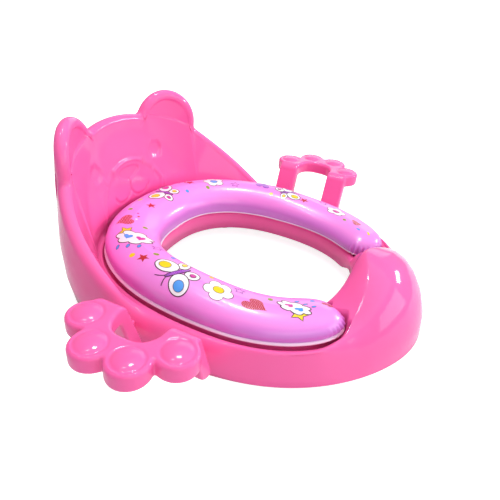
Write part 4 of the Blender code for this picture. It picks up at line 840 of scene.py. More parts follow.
PINK = moulded_pink("pink polypropylene, polished mould", "FF6CB1", "FC65AB")
PAW_PINK = moulded_pink("pink polypropylene of the handles", "FF6AB0", "FB62A9")

end_shares = (-1.0, -0.33, 0.33, 1.0)
bead_shares = (0.0, 0.08, 0.25, 0.5, 0.75, 0.92, 1.0)
floor_shares = (0.25, 0.5, 0.75, 0.9)
fillet_degrees = (30, 60)
face_shares = np.concatenate([np.linspace(0.02, 0.12, 3)[:-1], np.linspace(0.12, 0.74, 52)[:-1],
                              np.linspace(0.74, 1.0, 14)[:-1]])
half = shell_half(SHELL_PITCH, end_shares, bead_shares, floor_shares, fillet_degrees,
                  tuple(face_shares), (90, 75, 60, 45, 30, 15, 0), (0.15, 0.4, 0.7, 1.0))
shell = closed_ring(half)
# Rows before the face: the flange's foot, the bead, three fillets (two of them with a level
# row), the floor and the deck's edge
first_face = 1 + len(bead_shares) + 3 * len(fillet_degrees) + 2 + len(floor_shares) + 1
relief_rows = shell[first_face:first_face + len(face_shares)]
towards = relief_rows * np.array([-1.0, -1.0, 0.0])
towards /= np.linalg.norm(towards, axis=-1, keepdims=True)
beside = np.abs(relief_rows[..., 0])
behind = (relief_rows[..., 1] > FACE_FRONT_Y) & (beside < FACE_REACH + 0.004)
height = face_relief(relief_rows[..., 0], relief_rows[..., 2]) * behind
relief_rows += towards * height[..., None]
SHELL = grid_object("shell", shell, loop_faces(*shell.shape[:2]), PINK, "seat")
wall = SHELL.modifiers.new("Wall", "SOLIDIFY")
wall.thickness = SHELL_WALL
wall.offset = -1.0
wall.use_rim = True
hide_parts("seat_shell")


# Handles: each is the zero level of a distance field, so that plate, legs and toes run into one
# another with the soft fillets of a moulding.
def slab(flat, across, half, edge):
    """Field of a plate with rounded edges, half thick on each side.

    flat is the distance to its outline, and across the distance off its middle plane. The field is
    the distance to the plate made smaller by the edge's radius all round, less that radius.
    """
    a, b = flat + edge, np.abs(across) - half + edge
    return np.hypot(np.maximum(a, 0), np.maximum(b, 0)) + np.minimum(np.maximum(a, b), 0) - edge


def joined(a, b, blend):
    """Union of two fields: the smaller one, less a parabola where they are within blend."""
    share = np.clip(0.5 + 0.5 * (b - a) / blend, 0, 1)
    return b * (1 - share) + a * share - blend * share * (1 - share)


def level_surface(field, origin, pitch):
    """Points and quads of a field's zero level.

    There is one point for each cell that it passes, at the mean of the crossings on the cell's
    edges, and one quad for each grid edge that it crosses.
    """
    sign = field < 0
    cells = tuple(size - 1 for size in field.shape)
    total, count = np.zeros(cells + (3,)), np.zeros(cells)
    spans = [np.arange(size, dtype=float) for size in cells]
    base = np.stack(np.meshgrid(*spans, indexing="ij"), axis=-1)
    for axis in range(3):
        others = [place for place in range(3) if place != axis]
        for a in (0, 1):
            for b in (0, 1):
                low, high = [slice(None)] * 3, [slice(None)] * 3
                for place, shift in zip(others, (a, b)):
                    low[place] = high[place] = slice(shift, shift + cells[place])
                low[axis], high[axis] = slice(0, cells[axis]), slice(1, cells[axis] + 1)
                start, end = field[tuple(low)], field[tuple(high)]
                crossed = (start < 0) != (end < 0)
                t = np.where(crossed, start / np.where(crossed, start - end, 1.0), 0.0)
                spot = base.copy()
                spot[..., others[0]] += a
                spot[..., others[1]] += b
                spot[..., axis] += t
                total += spot * crossed[..., None]
                count += crossed
    used = count > 0
    index = np.full(cells, -1)
    index[used] = np.arange(int(used.sum()))
    points = total[used] / count[used][:, None] * pitch + origin
    quads = []
    for axis in range(3):
        b, c = (axis + 1) % 3, (axis + 2) % 3
        inner = [slice(1, size - 1) for size in field.shape]
        inner[axis] = slice(0, field.shape[axis] - 1)
        ahead = list(inner)
        ahead[axis] = slice(1, field.shape[axis])
        here, there = sign[tuple(inner)], sign[tuple(ahead)]
        ahead_by = np.array([0 if place == axis else 1 for place in range(3)])
        places = np.argwhere(here != there) + ahead_by
        turned = here[here != there]
        corners = []
        for shift_b, shift_c in ((0, 0), (-1, 0), (-1, -1), (0, -1)):
            cell = places.copy()
            cell[:, b] += shift_b
            cell[:, c] += shift_c
            corners.append(index[tuple(cell.T)])
        quad = np.stack(corners, axis=-1)
        quads.append(np.where(turned[:, None], quad, quad[:, ::-1]))
    return points, np.concatenate(quads)


def leg_x(z):
    """Inner face of a leg: a straight line that leans outwards."""
    return LEG_TOP_X + LEG_LEAN * (z - PAW_TOP)


def paw_outline():
    """Toed plate seen from above: the toed edge, straight sides and a superelliptic notch."""
    degrees = np.linspace(-2 * TOE_PITCH, 2 * TOE_PITCH, 161)
    radius, turn = toe_line(degrees), np.radians(degrees)
    toes = np.stack([PAW_CENTRE + radius * np.cos(turn), radius * np.sin(turn)], 1)
    inside_x = LEG_TOP_X + LEG_SHOULDER / 2
    reach = PAW_CENTRE + NOTCH_DEPTH - LEG_TOP_X
    turn = np.radians(np.linspace(78, -78, 25))
    along = np.sin(turn)
    notch = np.stack([LEG_TOP_X + reach * np.cos(turn) ** 0.7,
                      np.copysign(LEG_INNER * np.abs(along) ** 0.7, along)], 1)
    side = np.array([(inside_x, PAW_SIDE), (inside_x, LEG_INNER)])
    return np.concatenate([toes, side, notch, side[::-1] * np.array([1.0, -1.0])])


def leg_outline():
    """Leaning leg seen from the front, as (x, z).

    It is a slanted strip with a quarter circle at its foot and another where it meets the plate.
    """
    thick = LEG_THICK * math.hypot(1.0, LEG_LEAN)
    profile = [(leg_x(LEG_FOOT), LEG_FOOT)]
    turn_z = LEG_FOOT + LEG_TOE
    centre_x = leg_x(turn_z) + thick - LEG_TOE
    for degrees in range(-90, 1, 10):
        turn = math.radians(degrees)
        profile.append((centre_x + LEG_TOE * math.cos(turn), turn_z + LEG_TOE * math.sin(turn)))
    inside_z = PAW_TOP - PAW_THICK * 0.6
    profile.append((leg_x(inside_z) + thick, inside_z))
    profile.append((leg_x(PAW_TOP) + LEG_SHOULDER * 1.6, inside_z))
    profile.append((leg_x(PAW_TOP) + LEG_SHOULDER * 1.6, PAW_TOP))
    for degrees in range(90, 171, 10):
        turn = math.radians(degrees)
        profile.append((leg_x(PAW_TOP) + LEG_SHOULDER * (0.85 + math.cos(turn)),
                        PAW_TOP - LEG_SHOULDER * (1.0 - math.sin(turn))))
    return np.array(profile)


def paw_mesh(pitch):
    """Points and quads of the left handle.

    Plate, legs, tongues and toe domes are distance fields that are joined one after another, and
    a ring-shaped groove is cut round each toe before its dome is added.
    """
    low = np.array([TONGUE_TIP - 2 * pitch, -PAW_TIP, LEG_FOOT - 2 * pitch])
    high = np.array([PAW_CENTRE + PAW_TIP + 2 * pitch, PAW_TIP, PAW_TOP + TOE_RISE + 2 * pitch])
    x, y, z = [np.arange(low[axis], high[axis] + pitch, pitch) for axis in range(3)]
    flat = outline_distance(*np.meshgrid(x, y, indexing="ij"), paw_outline())[:, :, None]
    side = outline_distance(*np.meshgrid(x, z, indexing="ij"), leg_outline())[:, None, :]
    x, y, z = x[:, None, None], y[None, :, None], z[None, None, :]
    middle = PAW_TOP - PAW_THICK / 2
    field = slab(flat, z - middle, PAW_THICK / 2, PAW_ROUND)
    tongue_middle = (TONGUE_TIP + leg_x(TONGUE_HIGH) + LEG_THICK / 2) / 2
    tongue_half = (leg_x(TONGUE_HIGH) + LEG_THICK / 2 - TONGUE_TIP) / 2
    along = np.abs(x - tongue_middle) - tongue_half
    up = z - (TONGUE_LOW + TONGUE_HIGH) / 2
    for leg in (-1, 1):
        centre = leg * (LEG_INNER + LEG_WIDTH / 2)
        leg_field = slab(side, y - centre, LEG_WIDTH / 2, PAW_ROUND * 0.6)
        field = joined(field, leg_field, LEG_BLEND)
        shift = centre + TONGUE_SHIFT
        tongue = np.maximum(along, np.abs(y - shift) - TONGUE_WIDTH / 2)
        field = np.minimum(field, slab(tongue, up, (TONGUE_HIGH - TONGUE_LOW) / 2, pitch))
    for turn in TOE_TURNS:
        angle = math.radians(turn * TOE_PITCH)
        off_x = x - PAW_CENTRE - TOE_CENTRE * math.cos(angle)
        flat_r = np.hypot(off_x, y - TOE_CENTRE * math.sin(angle))
        ring = np.hypot(flat_r - TOE_RADIUS - GROOVE_SHIFT, z - PAW_TOP - GROOVE_SHIFT)
        field = np.maximum(field, GROOVE_RADIUS - ring)
        high_z = (z - PAW_TOP + TOE_SINK) / (TOE_RISE + TOE_SINK)
        size = np.sqrt((flat_r / TOE_RADIUS) ** 2 + np.maximum(high_z, 0) ** 2)
        dome = np.maximum((size - 1.0) * (TOE_RISE + TOE_SINK), middle - z)
        field = joined(field, dome, TOE_BLEND)
    return level_surface(field, low, pitch)


paw_points, paw_quads = paw_mesh(PAW_PITCH)
for name, side in (("handle_left", 1.0), ("handle_right", -1.0)):
    quads = paw_quads if side > 0 else paw_quads[:, ::-1]
    paw = grid_object("paw_" + name, paw_points * np.array([side, 1.0, 1.0]), quads, PAW_PINK, name)
    relax = paw.modifiers.new("Relax", "SMOOTH")
    relax.factor = 0.5
    relax.iterations = 3
    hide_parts(name)


# Cushion: foam in a welded skin of soft vinyl. It is crowned, its sides swell past the weld and
# the skin gathers into puckers along the weld, most at the two ends.
SIDES, CAPS = 150, 96        # points along each side of the band and round each of its ends
END_GAP = CUSHION_END_GAP + END_WALL
FOOT_GAP = BOARD_EDGE_GAP - SKIRT_WALL


def band_ring(inner, outer, end_gap, share):
    """(x, y, w) round the band; share 0 is its edge and 1 its middle line, w runs from -1 to 1.

    Points lie between the inner and outer radius by w. The ends are superellipses of power 3.
    """
    end = math.radians(90 + GUARD_ANGLE) - end_gap / SEAM_SIDE
    half = (SEAM_SIDE - SEAM_INNER_SIDE) / 2
    pull = half / (SEAM_SIDE - half)
    corner = pull * CUSHION_CORNER * 2
    straight = end - corner
    down = straight * (1 - 2 * np.arange(SIDES + 1) / SIDES)
    cap = np.cos(math.pi * np.arange(1, CAPS) / CAPS)
    side, end_cap = np.ones(SIDES + 1), np.ones(CAPS - 1)
    w = np.concatenate([side, cap, -side, -cap])
    sign = np.concatenate([0 * side, -end_cap, 0 * side, end_cap])    # 0 but at the ends
    turn = np.concatenate([down, 0 * end_cap, -down, 0 * end_cap])
    reach = end - corner * (1.0 - (1.0 - np.abs(w) ** 3.0) ** (1 / 3.0)) - share * pull
    turn = np.where(sign != 0, sign * reach, turn * (straight - share * pull) / straight)
    angle = math.pi / 2 - turn
    low, high = inner(angle), outer(angle)
    radius = (low + high) / 2 + (high - low) / 2 * w * (1.0 - share)
    return radius * np.cos(angle), radius * np.sin(angle), w


def seam_inner(angle):
    """Radius of the weld on the opening's side."""
    return on_ring(angle, SEAM_IN)


def seam_outer(angle):
    """Radius of the weld on the recess's side."""
    return np.minimum(on_ring(angle, SEAM_OUT), recess_edge(angle) - CUSHION_GAP * 0.7)


def crown(x, y):
    """Height of the middle line, which falls towards the front ends by a smooth step."""
    front = smooth((CROWN_LEVEL - np.degrees(np.arctan2(y, np.abs(x)))) / CROWN_RUN)
    return CUSHION_TOP - CUSHION_FALL * front


ring_x, ring_y, ring_w = band_ring(seam_inner, seam_outer, END_GAP, 0.0)
seam_z = (SEAM_HEIGHT + SEAM_INSIDE_HEIGHT + (SEAM_HEIGHT - SEAM_INSIDE_HEIGHT) * ring_w) / 2
step = np.hypot(np.diff(ring_x, append=ring_x[0]), np.diff(ring_y, append=ring_y[0]))
along = np.concatenate([[0], np.cumsum(step)[:-1]])
ahead_x = np.roll(ring_x, -1) - np.roll(ring_x, 1)
ahead_y = np.roll(ring_y, -1) - np.roll(ring_y, 1)

# The skin gathers where the weld bends: the curvature is evened out over a few points
heading = np.unwrap(np.arctan2(ahead_y, ahead_x))
bend = np.abs(np.gradient(heading)) / np.maximum(step, 1e-5)
bend = np.concatenate([bend[-BEND_POINTS:], bend, bend[:BEND_POINTS]])
bend = np.convolve(bend, np.ones(2 * BEND_POINTS + 1) / (2 * BEND_POINTS + 1), "valid")
tight = smooth((bend - BEND_START) / BEND_RUN)
rng = np.random.default_rng(7)


def wander(number):
    """Curve through this many random heights from -1 to 1, evenly spaced round the weld."""
    return np.interp(along, np.linspace(0, along[-1], number), rng.uniform(-1, 1, number))


wobble = wander(90)
pucker = np.sin(2 * math.pi * along / PUCKER_PERIOD + PUCKER_WANDER * wobble)
pucker = pucker * tight * (PUCKER_DEPTH + PUCKER_SPREAD * wobble)
ripple = wander(70) * RIPPLE_DEPTH

# Outward direction of the ring
size = np.hypot(ahead_x, ahead_y)
area = np.sum(ring_x * np.roll(ring_y, -1) - np.roll(ring_x, -1) * ring_y)
turned_in = -1.0 if area < 0 else 1.0
out_x, out_y = turned_in * ahead_y / size, -turned_in * ahead_x / size


def board_outer(angle):
    """Outer edge of the board: inside the recess's wall and inside the skirt."""
    skirt = seam_outer(angle) - SKIRT_GAP - SKIRT_CLEAR
    return np.minimum(recess_edge(angle) - BOARD_INSET, skirt)


def skirt_row(past_opening, outer, past_outer, height):
    """Row of the skirt at one height: its edges are this far past the opening and outer."""
    x, y, _ = band_ring(lambda a: on_ring(a, OPENING) + past_opening,
                        lambda a: outer(a) + past_outer, FOOT_GAP, 0.0)
    return np.stack([x, y, height + 0 * x], axis=-1)


board_in = BEAD_WIDTH + BOARD_BEAD_GAP - SKIRT_WALL
rows = [skirt_row(board_in, board_outer, SKIRT_WALL, COVER_FOOT),
        skirt_row(board_in - SKIRT_SWELL, board_outer, SKIRT_WALL + SKIRT_SWELL / 2,
                  (COVER_FOOT + SKIRT_HEIGHT) / 2),
        skirt_row(BEAD_WIDTH + SKIRT_GAP, seam_outer, -SKIRT_GAP, SKIRT_HEIGHT)]
skirt_rows = len(rows)
for share in np.linspace(0, 1, 34) ** CROWN_SPACING:
    pull = 1.0 - (1.0 - share ** CROWN_POWER) ** (1 / CROWN_POWER)
    swell = CUSHION_BULGE * 4.0 * share * (1.0 - share) * (1.0 - pull)
    fade = 4.0 * smooth(share / FULL_CREASE) * (1.0 - smooth((share - FULL_CREASE) / 0.5))
    push = swell + (pucker * PUCKER_OUT + ripple * RIPPLE_OUT) * fade
    x, y, _ = band_ring(seam_inner, seam_outer, END_GAP, pull)
    z = seam_z + (crown(x, y) - seam_z) * share + (pucker + ripple) * SKIN_UP * fade
    rows.append(np.stack([x + out_x * push, y + out_y * push, z], axis=-1))
cushion_points = np.stack(rows)
cushion_quads = loop_faces(*cushion_points.shape[:2])


# Soft vinyl: a calendered film with a clear gloss, printed, drawn tight over the foam. Its gloss
# is sharp on the crown and breaks up in the puckers.
def vinyl(name, colour, dark):
    """dark is painted shade: the colour low on the sides, where less light falls."""
    mat, shader = finish(name, colour, Roughness=0.3, IOR=1.52, Coat_Weight=0.25,
                         Coat_Roughness=0.1, Subsurface_Weight=0.08, Subsurface_Scale=0.003)
    shader.inputs["Subsurface Radius"].default_value = (1.0, 0.5, 0.9)
    place = node(mat, "ShaderNodeTexCoord").outputs["Object"]
    # Painted shade: the film is darker low on the sides, where less light falls, and turns to its
    # own colour from 5 to 15 mm above the weld
    height = node(mat, "ShaderNodeSeparateXYZ", {"Vector": place})
    cloud = node(mat, "ShaderNodeTexNoise", {"Vector": place, "Scale": 22.0, "Detail": 2.0})
    painted_shade_fade = node(mat, "ShaderNodeMapRange",
                 {"Value": height.outputs["Z"], "From Min": SEAM_HEIGHT + 0.005,
                  "From Max": SEAM_HEIGHT + 0.015}, interpolation_type="SMOOTHSTEP")
    tint = node(mat, "ShaderNodeMath",
                {0: cloud.outputs["Fac"], 1: 0.3, 2: painted_shade_fade.outputs["Result"]},
                operation="MULTIPLY_ADD", use_clamp=True)
    tone = node(mat, "ShaderNodeMix", {"Factor": tint.outputs[0], "A": hex_colour(dark),
                                       "B": hex_colour(colour)}, data_type="RGBA")
    mat.node_tree.links.new(tone.outputs["Result"], shader.inputs["Base Color"])
    # Film that settles on the foam's cells: waves of 12 mm, and a fine grain of 1 mm
    wave = node(mat, "ShaderNodeTexNoise", {"Vector": place, "Scale": 80.0, "Detail": 2.0})
    grain = node(mat, "ShaderNodeTexNoise", {"Vector": place, "Scale": 1000.0, "Detail": 1.0})
    low = node(mat, "ShaderNodeBump", {"Height": wave.outputs["Fac"], "Strength": 0.16,
                                       "Distance": 0.0008})
    fine = node(mat, "ShaderNodeBump", {"Height": grain.outputs["Fac"], "Strength": 0.05,
                                        "Distance": 0.0001, "Normal": low.outputs["Normal"]})
    mat.node_tree.links.new(fine.outputs["Normal"], shader.inputs["Normal"])
    return mat


# CC76D4 is painted shade, darker low on the cushion's sides
LILAC = vinyl("lilac vinyl, calendered and glossy", "F28BE2", "CC76D4")
SEAM = vinyl("vinyl at the weld, pressed pale", "F8E4F4", "F3D6EE")
# The skirt's deep pink is painted shade: the pink light of the shaded recess round it, not the
# vinyl's own colour
SKIRT = vinyl("vinyl below the weld, in painted pink shade of the recess", "E874BC", "E26AB2")
CUSHION = grid_object("cushion", cushion_points, cushion_quads, LILAC, "cushion")
CUSHION.data.materials.append(SKIRT)
skirt = np.arange(len(cushion_quads)) < skirt_rows * cushion_points.shape[1]
CUSHION.data.polygons.foreach_set("material_index", skirt.astype(np.int32))
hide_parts("cushion_cover", "cushion_foam")

# Weld: a flat lip that stands out from the side all the way round, a little wavy at the
# puckers. It is half as thick on the opening's side. Its rows are given by their reach past the
# weld's line and their height over it.
inward = smooth(-(ring_x * out_x + ring_y * out_y) / 0.03)
slim = 1.0 - 0.5 * inward
wave = (pucker * 0.9 + ripple) * 0.6
lip_rows = []
for reach, lift in ((-0.0012, 0.0007), (0.0010, 0.0006), (0.0018, 0.0001), (0.0021, -0.0006),
                    (0.0019, -0.0011), (0.0012, -0.0013), (-0.0012, -0.0011)):
    stand = np.where(reach > 0, reach * slim, reach)
    lip_rows.append(np.stack([ring_x + out_x * stand, ring_y + out_y * stand,
                              seam_z + lift * slim + wave], axis=-1))
lip = np.stack(lip_rows)
lip_quads = loop_faces(*lip.shape[:2], closed_rows=True)
LIP = grid_object("cushion_weld", lip, lip_quads, SEAM, "cushion")


# Print: plain motifs (hearts, stars, flowers, butterflies, clouds and dots) as ink on the vinyl,
# laid on the cushion's surface
tree = BVHTree.FromPolygons([tuple(point) for point in cushion_points.reshape(-1, 3)],
                            [tuple(int(v) for v in quad) for quad in cushion_quads])


def ink(name, colour, hatch=None, turn=0.0):
    """Printed ink; hatch is a second colour that shows between crayon strokes about 1 mm apart.

    Without a hatch the ink is a tenth darker here and there, over about 3 mm.
    """
    mat, shader = finish(name, colour, Roughness=0.3, IOR=1.52, Coat_Weight=0.25,
                         Coat_Roughness=0.1)
    place = node(mat, "ShaderNodeTexCoord").outputs["Object"]
    full = hex_colour(colour)
    if hatch:
        turned = node(mat, "ShaderNodeMapping", {"Vector": place, "Rotation": (0.0, 0.0, turn)})
        strokes = node(mat, "ShaderNodeTexWave",
                       {"Vector": turned.outputs["Vector"], "Scale": 260.0,
                        "Distortion": 5.0, "Detail": 2.0, "Detail Scale": 1.5})
        between = node(mat, "ShaderNodeMapRange", {"Value": strokes.outputs["Fac"],
                                                   "From Min": 0.03, "From Max": 0.16})
        mixing = {"Factor": between.outputs["Result"], "A": hex_colour(hatch), "B": full}
    else:
        cloud = node(mat, "ShaderNodeTexNoise", {"Vector": place, "Scale": 300.0, "Detail": 1.0})
        darker = tuple(0.9 * part for part in full[:3]) + (1.0,)
        mixing = {"Factor": cloud.outputs["Fac"], "A": full, "B": darker}
    blend = node(mat, "ShaderNodeMix", mixing, data_type="RGBA")
    mat.node_tree.links.new(blend.outputs["Result"], shader.inputs["Base Color"])
    return mat


INKS = {"red": ink("red crayon ink", "B82834", "EE9AC8", 0.7),
        "purple": ink("purple crayon ink", "8E35B8", "DC7CE0", 0.3),
        "star": ink("red ink", "C4242E"),
        "line": ink("violet line ink", "8E3FB0"),
        "green": ink("olive green crayon ink", "7C9414", "A2A83C", 1.0),
        "blue": ink("blue ink", "4A9AF0"),
        "yellow": ink("yellow ink", "F0D400"),
        "rose": ink("rose ink", "D22FA0"),
        "white": ink("white ink", "F6F0F6"),
        "dark": ink("dark line ink", "4A2434")}
PRINT_LIFT = 0.00012         # ink above the vinyl
LAYER = 0.00004              # and each further layer of ink by this
CORE_RISE = 0.0040           # the band's core above the weld
ROUND = 0.0195               # radius of the section on which v is measured
RAY_START, RAY_LENGTH = 0.05, 0.06
print_points, print_faces, print_inks = [], [], []
ink_names = list(INKS)


def band_place(degrees):
    """Core of the band at a polar angle, the direction outwards from it, and its radius."""
    angle = math.radians(degrees)
    radius = (float(seam_inner(angle)) + float(seam_outer(angle))) / 2
    outward = np.array([math.cos(angle), math.sin(angle), 0.0])
    return outward * radius + np.array([0.0, 0.0, SEAM_HEIGHT + CORE_RISE]), outward, radius


def printed(points, degrees, across, turn, lift):
    """Lays (u, v) points in mm, round (degrees, across), on the cushion.

    u runs along the band and v round its section. Each point is where a ray from outside to the
    band's core first meets the skin.
    """
    c, s = math.cos(turn), math.sin(turn)
    radius = band_place(degrees)[2]
    laid = []
    for u, v in points:
        p, q = (c * u - s * v) * 0.001, (s * u + c * v) * 0.001
        core, outward, _ = band_place(degrees + math.degrees(p / radius))
        lean = (across * 0.001 + q) / ROUND
        away = outward * math.sin(lean) + np.array([0.0, 0.0, math.cos(lean)])
        start = Vector(core + away * RAY_START)
        spot, normal = tree.ray_cast(start, Vector(-away), RAY_LENGTH)[:2]
        if spot is None:
            return None
        laid.append(np.array(spot) + np.array(normal) * (PRINT_LIFT + lift))
    return laid


def printed_faces(points, faces, at, colour, lift):
    """Adds faces over (u, v) points to the print, unless a point misses the cushion.

    at holds the place as degrees, mm across the band and turn.
    """
    laid = printed(points, *at, lift)
    if laid is None:
        return
    base = len(print_points)
    print_points.extend(laid)
    print_faces.extend(tuple(base + corner for corner in face) for face in faces)
    print_inks.extend([ink_names.index(colour)] * len(faces))


def motif(outline, degrees, across, turn, colour, lift=0.0, rings=4):
    """Prints a filled outline: rings that close in on its middle, then a fan."""
    outline = np.array(outline, float)
    middle, n = outline.mean(axis=0), len(outline)
    points = [tuple(middle + (place - middle) * share)
              for share in np.linspace(1.0, 0.0, rings + 1)[:-1] for place in outline]
    faces = loop_faces(rings, n).tolist()
    inmost = (rings - 1) * n
    faces += [(inmost + place, inmost + (place + 1) % n, rings * n) for place in range(n)]
    printed_faces(points + [tuple(middle)], faces, (degrees, across, turn), colour, lift)


def stroke(path, width, degrees, across, turn, colour, lift=0.0, closed=True):
    """Prints a line along a path: a strip that reaches half its width to each side."""
    path = np.array(path, float)
    ahead = np.roll(path, -1, axis=0) - np.roll(path, 1, axis=0)
    if not closed:
        ahead[0], ahead[-1] = path[1] - path[0], path[-1] - path[-2]
    size = np.linalg.norm(ahead, axis=1, keepdims=True)
    side = np.stack([ahead[:, 1], -ahead[:, 0]], 1) / size * width / 2
    faces = loop_faces(2, len(path)).tolist()
    if not closed:
        faces.pop()
    points = [tuple(place) for place in np.concatenate([path + side, path - side])]
    printed_faces(points, faces, (degrees, across, turn), colour, lift)


def heart(size, sides=36):
    """Outline of a heart, size mm wide: the sine cubed across, and a sum of four cosines up."""
    t = np.linspace(0, 2 * math.pi, sides, endpoint=False)
    x = 16 * np.sin(t) ** 3
    y = 13 * np.cos(t) - 5 * np.cos(2 * t) - 2 * np.cos(3 * t) - np.cos(4 * t)
    return np.stack([x, y], 1) * size / 32


def star(size, inner=0.42):
    """Outline of a five-pointed star, size mm across its points; inner is its valleys' share.

    Ten corners stand at even angles, far and near in turn, with a point half way between them.
    """
    t = np.arange(10) * math.pi / 5
    radius = np.where(np.arange(10) % 2 == 0, 1.0, inner) * size / 2
    corners = np.stack([radius * np.sin(t), radius * np.cos(t)], 1)
    between = (corners + np.roll(corners, -1, axis=0)) / 2
    return np.stack([corners, between], 1).reshape(-1, 2)


def dot(width, height, sides=18):
    """Outline of an ellipse."""
    t = np.linspace(0, 2 * math.pi, sides, endpoint=False)
    return np.stack([np.cos(t) * width / 2, np.sin(t) * height / 2], 1)


def petals(size, number=5, sides=60):
    """Outline of a flower, size mm across its petals.

    The radius goes with a power of the cosine's size, which comes once to 0 for each petal.
    """
    t = np.linspace(0, 2 * math.pi, sides, endpoint=False)
    radius = size / 2 * (0.72 + 0.28 * np.abs(np.cos(number * t / 2)) ** 0.6)
    return np.stack([radius * np.cos(t), radius * np.sin(t)], 1)


def flower(size, degrees, across, turn, middle="yellow", leaf="white"):
    """White flower with a dark outline and a coloured middle."""
    at = (degrees, across, turn)
    disc = dot(size * 0.36, size * 0.36)
    motif(petals(size), *at, leaf)
    stroke(petals(size), 0.5, *at, "dark", LAYER)
    motif(disc, *at, middle, LAYER)
    stroke(disc, 0.4, *at, "dark", 2 * LAYER)


def bloom(outline, place, turn, at, colour, lift=0.0, edge=0.7):
    """Prints one outline of a figure, moved and turned within it, with a dark line round it."""
    c, s = math.cos(turn), math.sin(turn)
    moved = outline @ np.array([[c, s], [-s, c]]) + np.array(place)
    motif(moved, *at, colour, lift)
    if edge:
        stroke(moved, edge, *at, "dark", lift + LAYER)


def butterfly(size, degrees, across, turn, first="blue", second="yellow"):
    """White butterfly with a dark outline, and a spot of colour on each wing."""
    at = (degrees, across, turn)
    for side in (-1.0, 1.0):
        upper, lower = (first, "rose") if side > 0 else (second, "yellow")
        bloom(dot(0.32 * size, 0.26 * size, 28), (side * 0.20 * size, -0.20 * size),
              side * -0.6, at, "white")
        bloom(dot(0.50 * size, 0.36 * size, 36), (side * 0.27 * size, 0.12 * size),
              side * 0.6, at, "white", 2 * LAYER)
        bloom(dot(0.25 * size, 0.19 * size), (side * 0.31 * size, 0.15 * size),
              side * 0.6, at, upper, 4 * LAYER, 0.4)
        bloom(dot(0.13 * size, 0.11 * size), (side * 0.21 * size, -0.21 * size),
              side * -0.6, at, lower, 4 * LAYER, 0.4)
        feeler = np.stack([side * size * np.linspace(0.01, 0.13, 9),
                           size * (0.2 + 0.2 * np.linspace(0, 1, 9) ** 0.6)], 1)
        stroke(feeler, 0.6, *at, "dark", 4 * LAYER, closed=False)
    bloom(dot(0.10 * size, 0.52 * size, 24), (0.0, 0.0), 0.0, at, "purple", 5 * LAYER, 0.6)


def cloud(size, degrees, across, turn):
    """White cloud with a dark outline, a yellow star behind it and blue drops below."""
    at = (degrees, across, turn)
    bloom(star(0.42 * size, 0.5), (0.30 * size, 0.20 * size), 0.2, at, "yellow", 0.0, 0.6)
    puffs = petals(0.72 * size, 7) * np.array([1.3, 0.8])
    bloom(puffs, (0.0, 0.0), 0.0, at, "white", 2 * LAYER, 0.8)
    bloom(heart(0.22 * size), (-0.14 * size, 0.0), 0.0, at, "rose", 4 * LAYER, 0.0)
    bloom(heart(0.22 * size), (0.16 * size, 0.0), 0.0, at, "blue", 4 * LAYER, 0.0)
    for step in (-0.2, 0.05, 0.3):
        bloom(dot(0.08 * size, 0.13 * size), (step * size, -0.36 * size), 0.2, at, "blue", 0.0, 0.3)


# The layout: degrees, mm across the band and turn of each motif
for width, degrees, across, turn, colour in (
        (18, 207, 6, 2.2, "red"), (12, 238, -2, 1.0, "red"), (15, 20, 2, 3.3, "purple"),
        (17, 117, 6, 2.8, "red"), (12, -44, 3, 3.9, "red")):
    motif(heart(width), degrees, across, turn, colour)
for degrees, across, turn in ((151, 8, 0.4), (63, 5, 1.1), (99, -6, 2.2), (-10, -5, 0.3)):
    motif(star(9.5), degrees, across, turn, "star")
for degrees, across, turn in ((200, -9, 0.6), (38, -5, 0.2), (146, -9, 1.0), (-19, 8, 2.0)):
    stroke(star(9.5), 0.6, degrees, across, turn, "line")
butterfly(38, 170, 3, 0.5)
butterfly(34, 82, 0, -0.3, "yellow", "rose")
butterfly(31, 3, 0, 0.9)
cloud(34, 134, 1, 2.2)
cloud(30, 222.5, 2, 0.9)
flower(23, 191, 2, 0.3)
flower(20, 50, 1, 0.2, "blue")
flower(19, -30, 1, 0.1, "rose")
for degrees, across, colour in (
        (214, -9, "green"), (244, 9, "green"), (152, -2, "green"), (123, -11, "green"),
        (106, 8, "green"), (56, -10, "green"), (31, 10, "green"), (-39, -7, "green"),
        (232, -10, "blue"), (158, -10, "blue"), (184, -11, "yellow"), (146, 12, "yellow"),
        (13, 10, "blue"), (13, -11, "yellow"), (-50, -6, "blue"), (-54, 6, "yellow"),
        (70, -10, "blue"), (95, 10, "yellow")):
    motif(dot(4.6, 3.8), degrees, across, degrees * 0.7, colour)
small_dots = ((110, -2), (113, -4), (116, -3), (68, 9), (65, 8), (63, 10))
for order, (degrees, across) in enumerate(small_dots):
    motif(dot(2.2, 2.2, 12), degrees, across, 0.0, ("rose", "star", "white")[order % 3])
PRINT = grid_object("cushion_print", np.array(print_points), print_faces, None, "cushion")
for name in ink_names:
    PRINT.data.materials.append(INKS[name])
PRINT.data.polygons.foreach_set("material_index", np.array(print_inks, np.int32))

# Backing board, studs and grip pads keep their solids and get real finishes.
WHITE, white_shader = finish("white polypropylene sheet, sawn and matt", "E9E9E6",
                             Roughness=0.5, IOR=1.49)
RUBBER, rubber_shader = finish("grip rubber, moulded and chalky", "DAD9D4",
                               Roughness=0.75, IOR=1.5)
# The sheet has a faint grain of 2.5 mm, the rubber a stronger one of 1 mm
for mat, shader, scale, strength in ((WHITE, white_shader, 400.0, 0.1),
                                     (RUBBER, rubber_shader, 900.0, 0.2)):
    place = node(mat, "ShaderNodeTexCoord").outputs["Object"]
    grain = node(mat, "ShaderNodeTexNoise", {"Vector": place, "Scale": scale, "Detail": 2.0})
    bump = node(mat, "ShaderNodeBump", {"Height": grain.outputs["Fac"], "Strength": strength,
                                        "Distance": 0.0002})
    mat.node_tree.links.new(bump.outputs["Normal"], shader.inputs["Normal"])
for name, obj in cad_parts.items():
    for starts, mat in ((("cushion_board", "cushion_stud"), WHITE), ("grip_pad", RUBBER)):
        if name.startswith(starts):
            obj.data.materials.clear()
            obj.data.materials.append(mat)

